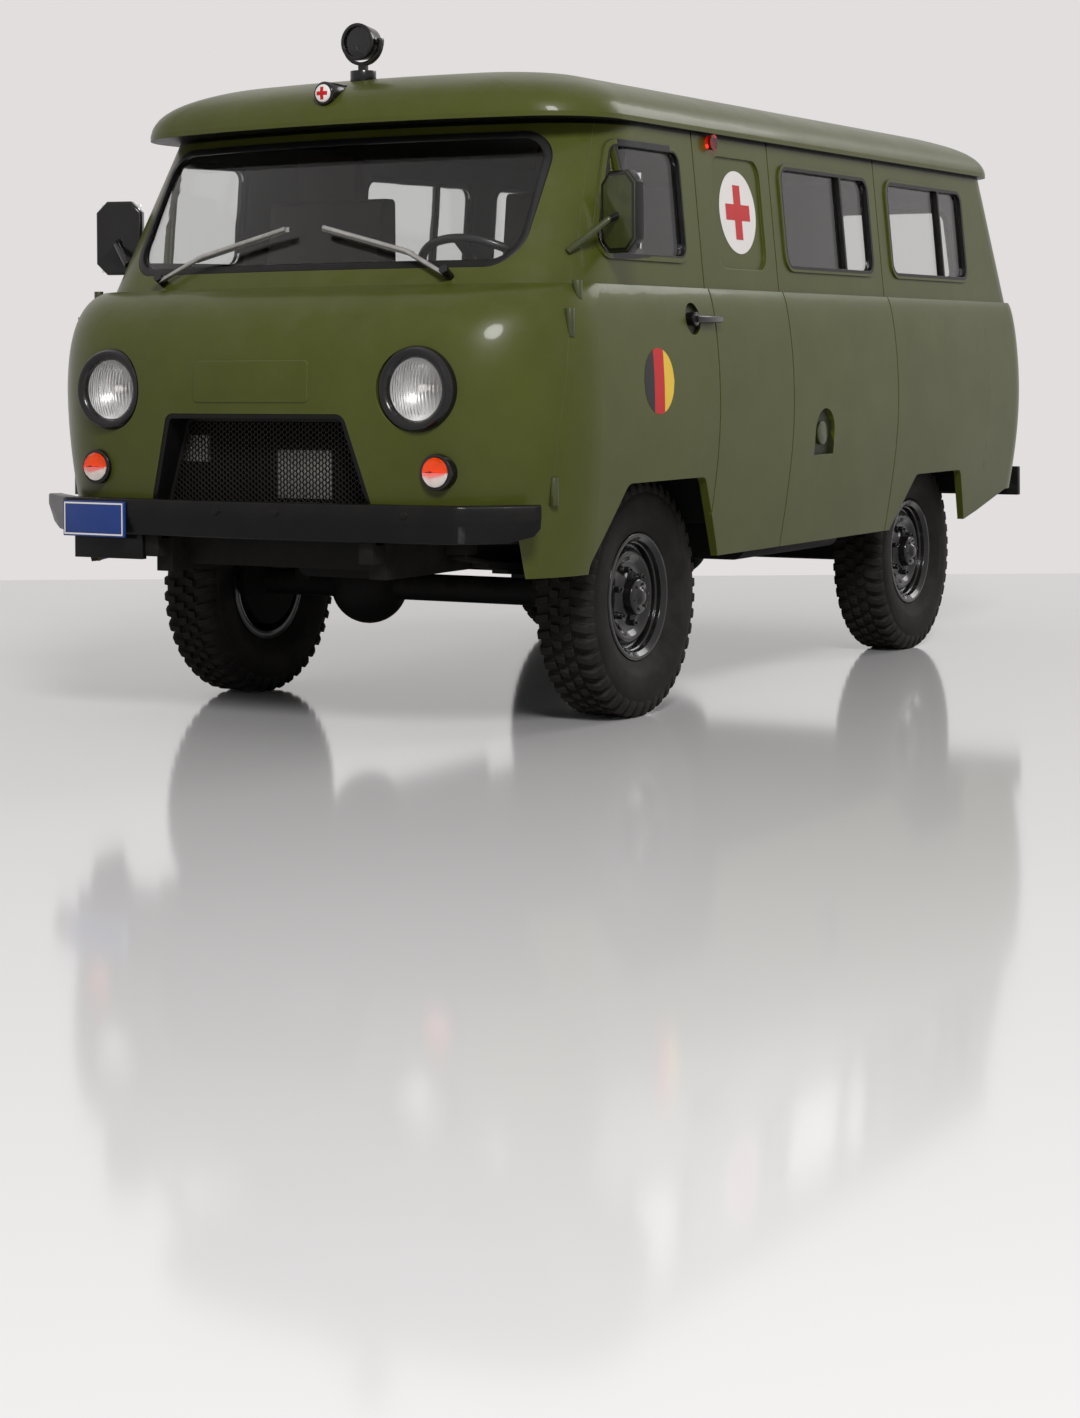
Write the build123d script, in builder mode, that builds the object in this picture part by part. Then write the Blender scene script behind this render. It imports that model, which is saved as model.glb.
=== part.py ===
from math import atan2, cos, pi, sin, sqrt
import os

from build123d import *

# A 1:24 scale model of a cab-over military ambulance van.
# Sizes and places are those of the full-size van in millimetres, as scale drawings give them, and
# each piece is brought to the model's own size by scale(by=model_scale) at the end of its block.
# X points forward, Y to the left and Z up. The origin is on the floor under the van's middle.
model_scale = 1 / 24
sides = (("left", 1), ("right", -1))

# running gear
front_axle_x = 1155
rear_axle_x = -1145
axle_z = 385
wheel_y = 725
tyre_r = 385
tread_r = 369
tread_half_width = 84
lug_count = 32
lug_wide = 32
bead_r = 190
bead_half_width = 70
# rings of the tyre from its inner bead to its outer one: y and radius
tyre_rings = [(-bead_half_width, 207), (-105, 300), (-tread_half_width, tread_r),
              (tread_half_width, tread_r), (105, 300), (bead_half_width, 207)]
diff_y = -230
diff_r = 130
diff_nose_r = 45
stub_r = 18
stub_length = 80
stub_bore_r = 20
stub_bore_y = 60
axle_tube_r = 45
drum_r = 150
drum_y = (640, 695)
spring_y = 470
spring_wide = 60
spring_pad = 20
leaf_thick = 12
leaf_rise = 55
leaf_half_lengths = (560, 430, 310, 190)

# body shell
wall = 29
gutter_z = 1889
floor_z = 600
floor_thick = 30
rear_corner = 220
nose_arc = 4000
screen_arc = 2500
roof_arc = 2600
groove_width = 8
groove_depth = 7

# plan sections of the lower body: height, half width, front, back, front corner radius
lower_sections = [
    (496, 905, 2095, -2115, 400),
    (740, 945, 2132, -2126, 415),
    (1010, 965, 2154, -2134, 420),
    (1200, 955, 2138, -2136, 400),
    (1320, 938, 2062, -2133, 350),
    (1374, 921, 1950, -2128, 300),
]

# plan sections of the upper body, below and above the windows
upper_sections = [
    (1374, 908, 1940, -2115, 300),
    (1889, 860, 1631, -1930, 300),
]

# plan sections of the roof from the gutter to the crown
roof_sections = [
    (1905, 885, 1755, -1955, 270),
    (1955, 862, 1738, -1935, 270),
    (2000, 798, 1690, -1880, 270),
    (2035, 700, 1600, -1790, 250),
    (2060, 530, 1420, -1620, 230),
    (2074, 260, 1050, -1250, 200),
]
gutter_lip = 16

# plan sections of the ceiling under the roof, one wall larger than the hollow itself
ceiling_sections = [
    (1905, 885, 1755, -1955, 270),
    (1925, 862, 1738, -1935, 270),
    (1965, 798, 1690, -1880, 270),
    (2000, 700, 1600, -1790, 250),
    (2015, 600, 1500, -1690, 240),
]

# where the body mouldings part, as x and z in the side view
door_front = [(1880, 400), (1878, 940), (1830, 1230), (1710, 1374), (1433, 1889), (1400, 1950)]
rear_panel_x = -1595
rear_foot_z = 600
rear_foot_x = -1890
sill_end = (-1461, 496)
sill_turn_z = 525
side_outline = door_front + [(rear_panel_x, 1950), (rear_panel_x, sill_turn_z), sill_end, (-1461, 400)]
rear_outline = [(rear_panel_x, 1950), (-2300, 1950), (-2300, rear_foot_z), (rear_foot_x, rear_foot_z),
                (rear_panel_x, sill_turn_z)]
nose_foot = [(-820, 300), (820, 300), (820, 625), (-820, 625)]
shut_lines = {"left": [884, 305, -635], "right": [884, 840, 305, -635]}
rear_door_y = (720, 0, -720)
rear_door_z = (640, 1860)

# window openings, as x and z of their corners
door_window = [(985, 1452), (1620, 1452), (1431, 1830), (985, 1830)]
load_windows = [(-561, 237), (-1526, -722)]
window_z = (1447, 1826)
window_corner = 62
pane_bars_x = (1400, -292, -1261)
pane_bar = 14
seal_wide = 22
seal_proud = 8
glass_face = -7
glass_back = -21
rear_windows = [(110, 640), (-640, -110)]
rear_window_z = (1450, 1780)

# blank panel behind the front door: x range and z range
blank_panel = (380, 759, 1445, 1820)
blank_depth = 10

# front door handle in its round hollow, handles of the load doors, and on the left side the fuel
# filler in its arched hollow
handle_spot = (1045, 1273)
handle_hollow_r = 52
handle_x = (885, 1062)
handle_high = 22
handle_depth = 14
handle_proud = 26
load_handle_z = (1262, 1284)
side_handle_x = (335, 450)
rear_handle_y = (20, 150)
filler_x = (-48, 118)
filler_z = (806, 969)
filler_depth = 18
filler_cap_r = 42

# wheel arches: x and z of the corners, from the front, and the tubs over the wheels
front_arch = [(1673, 300), (1673, 525), (1489, 763), (962, 763), (789, 496), (789, 300)]
rear_arch = [(-680, 300), (-680, 496), (-875, 700), (-1339, 700), (-1461, 496), (-1461, 300)]
arch_corner = 45
tub_wall = 20
tub_inner_y = 565
tub_top = 850
tubs_x = [(740, 1720), (-1570, -640)]

# windscreen, seen from the front
screen_half = 738
screen_z = (1425, 1852)
screen_corner = 105

# nose: raised pressing, grille with its diamond mesh, radiator and the bright plates on it
pressing_half = 212
pressing_z = (1022, 1147)
pressing_proud = 4
grille_outline = [(-432, 640), (432, 640), (330, 986), (-330, 986)]
grille_corner = 35
surround_thick = 16
surround_back_x = 2030
mesh_thick = 10
mesh_pitch = (48, 38)
mesh_wire = 5
mesh_edge = (30, 22)
radiator_box = (1940, 1990, -390, 390, 630, 990)
plate_boxes = [(1990, 2000, -6, 193, 724, 873), (1990, 2000, -375, -270, 833, 916)]

# lamps on the nose
lamp_y = 570
lamp_z = 1060
lamp_r = 128
lens_r = 90
lamp_seat_x = 2075
bezel_front_x = 2122
indicator_y = 634
indicator_z = 816
indicator_r = 54
indicator_lens_r = 46
indicator_x = (2040, 2108)
indicator_dome = 24

# lamps on the roof, sides and tail
cross_lamp_z = 1990
cross_lamp_r = 38
cross_lamp_front = 1748
head_spot = (1518, 2172)
head_r = 60
yoke_half = (63, 74)
side_lamp = (762, 1860, 27)
tail_lamp_y = (760, 840)
tail_lamp_z = (780, 980)
tail_lamp_back = -2150

# mirrors: centre heights differ a little from side to side
mirror_spot = (1563, 966)
mirror_z = {"left": 1592, "right": 1568}
mirror_size = (160, 250)
mirror_toe = 20
mirror_deep = 34
arm_foot = (1678, 842, 1470)
arm_r = 11

# wipers: pivot, elbow and tip of one arm
wiper_line = [(1896, 540, 1402), (1876, 390, 1478), (1856, 72, 1560)]
wiper_r = 8

# door hinges, three to a front door and three to a rear door: x, y and z
hinges = [(1815, 924, 1254), (1870, 898, 755), (1745, 912, 1340),
          (-2128, 740, 800), (-2136, 740, 1250), (-2005, 740, 1680)]
hinge_r = 15
hinge_high = 84

# bumpers and number plate
bumper_line = [(1992, 926), (2150, 724), (2168, 466), (2180, 0)]
bumper_thick = 42
bumper_z = (608, 721)
bumper_tab = (-700, -430, 530)
rear_bumper_x = (-2180, -2142)
rear_bumper_z = (562, 683)
rear_bumper_half = 890
plate_z = (599, 711)
plate_thick = 10

# ladder frame with two screw bosses for a display base
rail_y = 400
rail_wide = 60
rail_z = (490, 600)
rail_end_x = 2060
crossmember_x = [-1950, -540, 60, 900, 1950]
mount_x = (900, -540)
mount_boss_r = 70
mount_boss_z = 440
mount_hole_r = 30
mount_hole_depth = 110
hanger_z = (544, 590)

# drive line, exhaust and fuel tank
gearbox_box = (330, 820, -300, 120, 420, 600)
sump_box = (1330, 1620, -200, 200, 450, 600)
shaft_r = 25
shaft_z = 440
muffler_line = [(-440, -560, 520), (-620, -535, 540), (-2040, -535, 540)]
muffler_x = (-450, 50)
muffler_r = 58
pipe_r = 20
tank_box = (-350, 450, 520, 840, 455, 600)

# interior
seat_y = 480
seat_profile = [(945, 1000), (1480, 1000), (1500, 1085), (1470, 1125), (1110, 1105), (1035, 1690),
                (945, 1690)]
headrest_box = (950, 1025, 1690, 1850)
bench_profile = [(480, 630), (505, 630), (505, 905), (890, 905), (890, 1360), (850, 1360), (850, 980),
                 (480, 980)]
bench_x = (-1850, 150)
dash_profile = [(1640, 1170), (1790, 1170), (1850, 1360), (1700, 1366), (1640, 1300)]
dash_half = 800
steering_spot = (1560, 480, 1400)
steering_r = 205
steering_rim_r = 14
steering_tilt = -35
cover_box = (1050, 1620, -240, 240, 630, 1010)

os.makedirs("parts", exist_ok=True)


def plan_section(z, half, front, back, corner, arc, grow=0):
    """A plan of the van: wide nose arc, front corners tangent to it, straight sides, round rear corners."""
    half, front, back = half + grow, front + grow, back - grow
    corner, arc, rear = corner + grow, arc + grow, rear_corner + grow
    nose_centre = front - arc
    corner_y = half - corner
    corner_x = nose_centre + sqrt((arc - corner) ** 2 - corner_y**2)
    reach = arc / (arc - corner)
    meet = (nose_centre + (corner_x - nose_centre) * reach, corner_y * reach)
    middle = (atan2(corner_y, corner_x - nose_centre) + pi / 2) / 2
    bend = (corner_x + corner * cos(middle), corner_y + corner * sin(middle))
    rear_x, rear_y = back + rear, half - rear
    rear_bend = (rear_x - rear * sin(pi / 4), rear_y + rear * sin(pi / 4))
    with BuildSketch(Plane.XY.offset(z)) as section:
        with BuildLine():
            ThreePointArc((meet[0], -meet[1]), (front, 0), meet)
            ThreePointArc(meet, bend, (corner_x, half))
            Line((corner_x, half), (rear_x, half))
            ThreePointArc((rear_x, half), rear_bend, (back, rear_y))
            Line((back, rear_y), (back, -rear_y))
            ThreePointArc((back, -rear_y), (rear_bend[0], -rear_bend[1]), (rear_x, -half))
            Line((rear_x, -half), (corner_x, -half))
            ThreePointArc((corner_x, -half), (bend[0], -bend[1]), (meet[0], -meet[1]))
        make_face()
    return section.sketch


def body_solid(sections, arc, grow=0, ruled=False, down=0, up=0):
    """The solid through the plan sections, grown outwards, and lengthened down and up."""
    first, last = sections[0][0], sections[-1][0]
    with BuildPart() as solid:
        faces = []
        for z, half, front, back, corner in sections:
            level = z - down * (z == first) + up * (z == last)
            faces.append(plan_section(level, half, front, back, corner, arc, grow))
        loft(faces, ruled=ruled)
    return solid.part


def lower_body(grow=0, down=0):
    return body_solid(lower_sections, nose_arc, grow, down=down)


def upper_body(grow=0, down=0, up=0):
    return body_solid(upper_sections, screen_arc, grow, ruled=True, down=down, up=up)


def side_view_region(points, y0, y1):
    """Everything between two Y places inside an outline drawn in the side view."""
    with BuildPart() as region:
        with BuildSketch(Plane.XZ.offset(-y1)):
            with BuildLine():
                Polyline(*points, close=True)
            make_face()
        extrude(amount=y1 - y0)
    return region.part


def side_prism(points, radius, side, inset=0):
    """A window or panel outline, drawn in the side view and cut through one side of the body."""
    with BuildPart() as prism:
        with BuildSketch(Plane.XZ.offset(-900 * side)):
            with BuildLine():
                FilletPolyline(*points, radius=radius, close=True)
            make_face()
            if inset:
                offset(amount=-inset, mode=Mode.REPLACE)
        extrude(amount=200, both=True)
    return prism.part


def front_prism(y0, y1, z0, z1, x, radius, inset=0):
    """A window outline, drawn from the front or from behind."""
    with BuildPart() as prism:
        with BuildSketch(Plane.YZ.offset(x)):
            with Locations(((y0 + y1) / 2, (z0 + z1) / 2)):
                RectangleRounded(y1 - y0, z1 - z0, radius)
            if inset:
                offset(amount=-inset, mode=Mode.REPLACE)
        extrude(amount=400, both=True)
    return prism.part


def screen_prism(inset=0):
    return front_prism(-screen_half, screen_half, *screen_z, 1600, screen_corner, inset)


def window_prisms(inset=0):
    """Every side and rear window opening, as one part."""
    with BuildPart() as prisms:
        for name, side in sides:
            add(side_prism(door_window, window_corner, side, inset))
            for x0, x1 in load_windows:
                corners = box_corners(x0, x1, *window_z)
                add(side_prism(corners, window_corner, side, inset))
        for y0, y1 in rear_windows:
            add(front_prism(y0, y1, *rear_window_z, -2050, window_corner, inset))
    return prisms.part


def box_corners(x0, x1, z0, z1):
    return [(x0, z0), (x1, z0), (x1, z1), (x0, z1)]


def block(x0, x1, y0, y1, z0, z1, radius=0):
    """A block between six planes, its upright edges rounded."""
    with BuildPart() as solid:
        with Locations(((x0 + x1) / 2, (y0 + y1) / 2, (z0 + z1) / 2)):
            Box(x1 - x0, y1 - y0, z1 - z0)
        if radius:
            fillet(solid.edges().filter_by(Axis.X), radius)
    return solid.part


def turned(profile, axis=Axis.X):
    """A solid of revolution from a profile of (distance along the axis, radius) points."""
    with BuildPart() as solid:
        with BuildSketch():
            with BuildLine():
                Polyline(*profile, close=True)
            make_face()
        revolve(axis=axis)
    return solid.part


def round_bar(points, radius, bend):
    """A round bar along straight runs, its corners bent to a radius."""
    with BuildPart() as bar:
        with BuildLine() as route:
            FilletPolyline(*points, radius=bend)
        with BuildSketch(Plane(origin=route.line @ 0, z_dir=route.line % 0)):
            Circle(radius)
        sweep(path=route.line)
    return bar.part


# the hollow body, one wall thick, open below and above
with BuildPart() as body:
    add(lower_body())
    add(upper_body())
    add(lower_body(-wall, down=20), mode=Mode.SUBTRACT)
    add(upper_body(-wall, down=20, up=20), mode=Mode.SUBTRACT)

# the outer skin, where door lines are sunk
with BuildPart() as skin:
    add(lower_body())
    add(upper_body())
    add(lower_body(-groove_depth, down=20), mode=Mode.SUBTRACT)
    add(upper_body(-groove_depth, down=20, up=20), mode=Mode.SUBTRACT)

# nose panel with the windscreen frame and a raised pressing over the grille
with BuildPart() as pressing:
    add(lower_body(pressing_proud))
    add(front_prism(-pressing_half, pressing_half, *pressing_z, 2150, 14), mode=Mode.INTERSECT)
    add(lower_body(-wall / 2), mode=Mode.SUBTRACT)

with BuildPart() as nose_panel:
    add(body.part)
    add(pressing.part)
    add(side_view_region(door_front + [(2400, 1950), (2400, 400)], -1200, 1200), mode=Mode.INTERSECT)
    add(screen_prism(), mode=Mode.SUBTRACT)
    with BuildSketch(Plane.YZ.offset(2100)):
        with BuildLine():
            FilletPolyline(*grille_outline, radius=grille_corner, close=True)
        make_face()
        with BuildLine():
            Polyline(*nose_foot, close=True)
        make_face()
        with Locations((lamp_y, lamp_z), (-lamp_y, lamp_z)):
            Circle(lamp_r)
        with Locations((indicator_y, indicator_z), (-indicator_y, indicator_z)):
            Circle(indicator_r)
    extrude(amount=250, both=True, mode=Mode.SUBTRACT)
    scale(by=model_scale)
nose_panel.part.label = "nose_panel"
export_step(nose_panel.part, "parts/nose_panel.step")

# side panels, with the doors engraved in them and the blank panel sunk behind the front door
with BuildPart() as filler_hollow:
    filler_mid = sum(filler_x) / 2
    filler_half = (filler_x[1] - filler_x[0]) / 2
    spring_line = filler_z[1] - filler_half
    with BuildSketch(Plane.XZ.offset(-900)):
        with BuildLine():
            Polyline((filler_x[0], spring_line), (filler_x[0], filler_z[0]), (filler_x[1], filler_z[0]),
                     (filler_x[1], spring_line))
            ThreePointArc((filler_x[1], spring_line), (filler_mid, filler_z[1]), (filler_x[0], spring_line))
        make_face()
    extrude(amount=200, both=True)
    add(lower_body(-filler_depth), mode=Mode.SUBTRACT)

for name, side in sides:
    with BuildPart() as door_lines:
        for x in shut_lines[name]:
            with Locations((x, 900 * side, 1150)):
                Box(groove_width, 400, 1500)
        add(skin.part, mode=Mode.INTERSECT)
    with BuildPart() as recess:
        add(side_prism(box_corners(*blank_panel), window_corner, side))
        add(upper_body(-blank_depth, down=20, up=20), mode=Mode.SUBTRACT)
    with BuildPart() as handle_cut:
        with Locations(Location((handle_spot[0], 900 * side, handle_spot[1]), (90, 0, 0))):
            Cylinder(handle_hollow_r, 400)
        add(lower_body(-handle_depth), mode=Mode.SUBTRACT)
    with BuildPart() as side_panel:
        add(body.part)
        add(side_view_region(side_outline, *sorted((100 * side, 1200 * side))), mode=Mode.INTERSECT)
        for arch in (front_arch, rear_arch):
            add(side_prism(arch, arch_corner, side), mode=Mode.SUBTRACT)
        add(side_prism(door_window, window_corner, side), mode=Mode.SUBTRACT)
        for x0, x1 in load_windows:
            add(side_prism(box_corners(x0, x1, *window_z), window_corner, side), mode=Mode.SUBTRACT)
        add(door_lines.part, mode=Mode.SUBTRACT)
        add(recess.part, mode=Mode.SUBTRACT)
        add(handle_cut.part, mode=Mode.SUBTRACT)
        if name == "left":
            add(filler_hollow.part, mode=Mode.SUBTRACT)
        scale(by=model_scale)
    side_panel.part.label = "side_panel_" + name
    export_step(side_panel.part, "parts/side_panel_" + name + ".step")

# rear panel, with its two doors engraved in it
with BuildPart() as rear_lines:
    for y in rear_door_y:
        with Locations((-2050, y, sum(rear_door_z) / 2)):
            Box(400, groove_width, rear_door_z[1] - rear_door_z[0])
    for z in rear_door_z:
        with Locations((-2050, 0, z)):
            Box(400, 2 * rear_door_y[0] + groove_width, groove_width)
    add(skin.part, mode=Mode.INTERSECT)
with BuildPart() as rear_panel:
    add(body.part)
    add(side_view_region(rear_outline, -1200, 1200), mode=Mode.INTERSECT)
    for y0, y1 in rear_windows:
        add(front_prism(y0, y1, *rear_window_z, -2050, window_corner), mode=Mode.SUBTRACT)
    add(rear_lines.part, mode=Mode.SUBTRACT)
    scale(by=model_scale)
rear_panel.part.label = "rear_panel"
export_step(rear_panel.part, "parts/rear_panel.step")

# roof: a gutter lip all round, seated on the walls, and a domed shell above it
with BuildPart() as roof_dome:
    add(body_solid(roof_sections, roof_arc))
with BuildPart() as roof:
    add(plan_section(gutter_z, *roof_sections[0][1:], roof_arc))
    extrude(amount=gutter_lip)
    add(roof_dome.part)
    add(body_solid(ceiling_sections, roof_arc, -wall), mode=Mode.SUBTRACT)
    add(plan_section(gutter_z, *upper_sections[-1][1:], screen_arc, -wall))
    extrude(amount=gutter_lip + 1, mode=Mode.SUBTRACT)
    scale(by=model_scale)
roof.part.label = "roof"
export_step(roof.part, "parts/roof.step")

# rubber seals and panes, in layers that follow the upper body
with BuildPart() as seal_layer:
    add(upper_body(seal_proud, down=20))
    add(upper_body(-wall, down=30, up=30), mode=Mode.SUBTRACT)
with BuildPart() as glass_layer:
    add(upper_body(glass_face, down=20))
    add(upper_body(glass_back, down=30, up=30), mode=Mode.SUBTRACT)

with BuildPart() as windscreen_seal:
    add(seal_layer.part)
    add(screen_prism(), mode=Mode.INTERSECT)
    add(screen_prism(seal_wide), mode=Mode.SUBTRACT)
    scale(by=model_scale)
windscreen_seal.part.label = "windscreen_seal"
export_step(windscreen_seal.part, "parts/windscreen_seal.step")

with BuildPart() as windscreen:
    add(glass_layer.part)
    add(screen_prism(seal_wide), mode=Mode.INTERSECT)
    scale(by=model_scale)
windscreen.part.label = "windscreen"
export_step(windscreen.part, "parts/windscreen.step")

with BuildPart() as pane_cuts:
    add(window_prisms(seal_wide))
    for x in pane_bars_x:
        with Locations((x, 0, 1650)):
            Box(pane_bar, 2400, 600, mode=Mode.SUBTRACT)

with BuildPart() as window_seals:
    add(seal_layer.part)
    add(window_prisms(), mode=Mode.INTERSECT)
    add(pane_cuts.part, mode=Mode.SUBTRACT)
    scale(by=model_scale)
window_seals.part.label = "window_seals"
export_step(window_seals.part, "parts/window_seals.step")

with BuildPart() as window_panes:
    add(glass_layer.part)
    add(pane_cuts.part, mode=Mode.INTERSECT)
    scale(by=model_scale)
window_panes.part.label = "window_panes"
export_step(window_panes.part, "parts/window_panes.step")

# headlights: bowl, bezel and lens, in the round openings of the nose
headlight_spots = Locations((0, lamp_y, lamp_z), (0, -lamp_y, lamp_z))
with BuildPart() as headlight_bowls:
    with headlight_spots:
        add(turned([(2000, 0), (2020, 0), (2055, 60), (lamp_seat_x, 82), (lamp_seat_x, lamp_r),
                    (2050, lamp_r), (2035, 100), (2000, 50)]))
    scale(by=model_scale)
headlight_bowls.part.label = "headlight_bowls"
export_step(headlight_bowls.part, "parts/headlight_bowls.step")

with BuildPart() as headlight_bezels:
    with headlight_spots:
        add(turned([(lamp_seat_x, lens_r), (lamp_seat_x, lamp_r), (bezel_front_x - 10, lamp_r),
                    (bezel_front_x, lamp_r - 12), (bezel_front_x - 8, lens_r)]))
    scale(by=model_scale)
headlight_bezels.part.label = "headlight_bezels"
export_step(headlight_bezels.part, "parts/headlight_bezels.step")

with BuildPart() as headlight_lenses:
    with headlight_spots:
        add(turned([(lamp_seat_x, 82), (lamp_seat_x, lens_r), (2100, lens_r), (2116, 60), (2122, 0),
                    (2112, 0), (2106, 55), (2090, 82)]))
    scale(by=model_scale)
headlight_lenses.part.label = "headlight_lenses"
export_step(headlight_lenses.part, "parts/headlight_lenses.step")

# front indicators: base, amber upper half and clear lower half of the lens
indicator_spots = Locations((0, indicator_y, indicator_z), (0, -indicator_y, indicator_z))
indicator_front = indicator_x[1]
with BuildPart() as indicator_bases:
    with indicator_spots:
        add(turned([(indicator_x[0], 0), (indicator_front, 0), (indicator_front, indicator_r),
                    (indicator_x[0], indicator_r)]))
    scale(by=model_scale)
indicator_bases.part.label = "indicator_bases"
export_step(indicator_bases.part, "parts/indicator_bases.step")

for name, half in (("indicator_ambers", 1), ("indicator_clears", -1)):
    with BuildPart() as lens_half:
        add(turned([(indicator_front, 0), (indicator_front, indicator_lens_r),
                    (indicator_front + indicator_dome * 0.6, indicator_lens_r * 0.8),
                    (indicator_front + indicator_dome, 0)]))
        with Locations((indicator_front, 0, -half * indicator_r)):
            Box(4 * indicator_dome, 4 * indicator_r, 2 * indicator_r, mode=Mode.SUBTRACT)
    with BuildPart() as indicator_lenses:
        with indicator_spots:
            add(lens_half.part)
        scale(by=model_scale)
    indicator_lenses.part.label = name
    export_step(indicator_lenses.part, "parts/" + name + ".step")

# grille: a surround in the opening, the mesh at its back, and the radiator behind
with BuildPart() as grille_surround:
    with BuildSketch(Plane.YZ.offset(surround_back_x)) as rim:
        with BuildLine():
            FilletPolyline(*grille_outline, radius=grille_corner, close=True)
        make_face()
        offset(amount=-surround_thick, mode=Mode.SUBTRACT)
    extrude(amount=200)
    add(lower_body(-3, down=20), mode=Mode.INTERSECT)
    scale(by=model_scale)
grille_surround.part.label = "grille_surround"
export_step(grille_surround.part, "parts/grille_surround.step")

hole_y, hole_z = mesh_pitch[0] / 2 - mesh_wire, mesh_pitch[1] / 2 - mesh_wire
(low_y, low_z), (high_y, high_z) = grille_outline[1:3]
mesh_holes = []
for row in range(-9, 10):
    for column in range(-9, 10):
        y = (column + row % 2 / 2) * mesh_pitch[0]
        z = (low_z + high_z) / 2 + row * mesh_pitch[1] / 2
        side_y = low_y + (high_y - low_y) * (z - low_z) / (high_z - low_z)
        inside = low_z + mesh_edge[1] < z - hole_z and z + hole_z < high_z - mesh_edge[1]
        if inside and abs(y) + hole_y < side_y - mesh_edge[0]:
            mesh_holes.append((y, z))
with BuildPart() as grille_mesh:
    with BuildSketch(Plane.YZ.offset(surround_back_x)) as opening:
        with BuildLine():
            FilletPolyline(*grille_outline, radius=grille_corner, close=True)
        make_face()
        offset(amount=-surround_thick, mode=Mode.REPLACE)
        with Locations(*mesh_holes):
            Polygon((hole_y, 0), (0, hole_z), (-hole_y, 0), (0, -hole_z), mode=Mode.SUBTRACT)
    extrude(amount=mesh_thick)
    scale(by=model_scale)
grille_mesh.part.label = "grille_mesh"
export_step(grille_mesh.part, "parts/grille_mesh.step")

with BuildPart() as radiator:
    add(block(*radiator_box))
    scale(by=model_scale)
radiator.part.label = "radiator"
export_step(radiator.part, "parts/radiator.step")

with BuildPart() as bright_plates:
    for box in plate_boxes:
        add(block(*box))
    scale(by=model_scale)
bright_plates.part.label = "bright_plates"
export_step(bright_plates.part, "parts/bright_plates.step")

# lamp with a cross on the front slope of the roof
with BuildPart() as cross_lamp:
    with Locations((0, 0, cross_lamp_z)):
        add(turned([(1600, 0), (cross_lamp_front, 0), (cross_lamp_front, cross_lamp_r - 4),
                    (cross_lamp_front - 6, cross_lamp_r), (1600, cross_lamp_r)]))
    add(roof_dome.part, mode=Mode.SUBTRACT)
    scale(by=model_scale)
cross_lamp.part.label = "cross_lamp"
export_step(cross_lamp.part, "parts/cross_lamp.step")

with BuildPart() as cross_lamp_lens:
    with Locations((0, 0, cross_lamp_z)):
        add(turned([(cross_lamp_front, 0), (cross_lamp_front, cross_lamp_r - 9),
                    (cross_lamp_front + 5, cross_lamp_r - 12), (cross_lamp_front + 8, 0)]))
    scale(by=model_scale)
cross_lamp_lens.part.label = "cross_lamp_lens"
export_step(cross_lamp_lens.part, "parts/cross_lamp_lens.step")

# searchlight in its yoke on the roof
head_x, head_z = head_spot
with BuildPart() as searchlight:
    with Locations((head_x, 0, head_z)):
        add(turned([(-62, 0), (-55, 30), (-30, 52), (30, head_r), (38, head_r), (38, 50), (20, 50),
                    (-20, 40), (-45, 0)]))
        for side in (1, -1):
            with Locations(Location((0, side * 62, 0), (90, 0, 0))):
                Cylinder(10, 26)
    with BuildSketch(Plane.YZ.offset(head_x - 10)):
        with Locations((0, head_z)):
            Rectangle(2 * yoke_half[1], 20)
            Circle(yoke_half[1])
            Circle(yoke_half[0], mode=Mode.SUBTRACT)
        with Locations((0, head_z + 110)):
            Rectangle(300, 200, mode=Mode.SUBTRACT)
        with Locations((0, head_z - 100)):
            Rectangle(26, 60)
    extrude(amount=20)
    with Locations((head_x, 0, 2060)):
        Cylinder(42, 40)
    add(roof_dome.part, mode=Mode.SUBTRACT)
    scale(by=model_scale)
searchlight.part.label = "searchlight"
export_step(searchlight.part, "parts/searchlight.step")

with BuildPart() as searchlight_lens:
    with Locations((head_x, 0, head_z)):
        add(turned([(22, 0), (22, 50), (30, 50), (36, 0)]))
    scale(by=model_scale)
searchlight_lens.part.label = "searchlight_lens"
export_step(searchlight_lens.part, "parts/searchlight_lens.step")

# red lamps under the gutter, and tail lamps on the rear corners
with BuildPart() as side_lamps:
    lamp_x, lamp_height, radius = side_lamp
    for name, side in sides:
        with Locations(Location((lamp_x, side * 866, lamp_height), (90 * side, 0, 0))):
            Cone(radius, radius * 0.7, 40)
    add(upper_body(), mode=Mode.SUBTRACT)
    scale(by=model_scale)
side_lamps.part.label = "side_lamps"
export_step(side_lamps.part, "parts/side_lamps.step")

with BuildPart() as tail_lamps:
    for name, side in sides:
        y0, y1 = sorted((side * tail_lamp_y[0], side * tail_lamp_y[1]))
        add(block(tail_lamp_back, -2060, y0, y1, *tail_lamp_z, radius=14))
    add(lower_body(), mode=Mode.SUBTRACT)
    scale(by=model_scale)
tail_lamps.part.label = "tail_lamps"
export_step(tail_lamps.part, "parts/tail_lamps.step")

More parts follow.
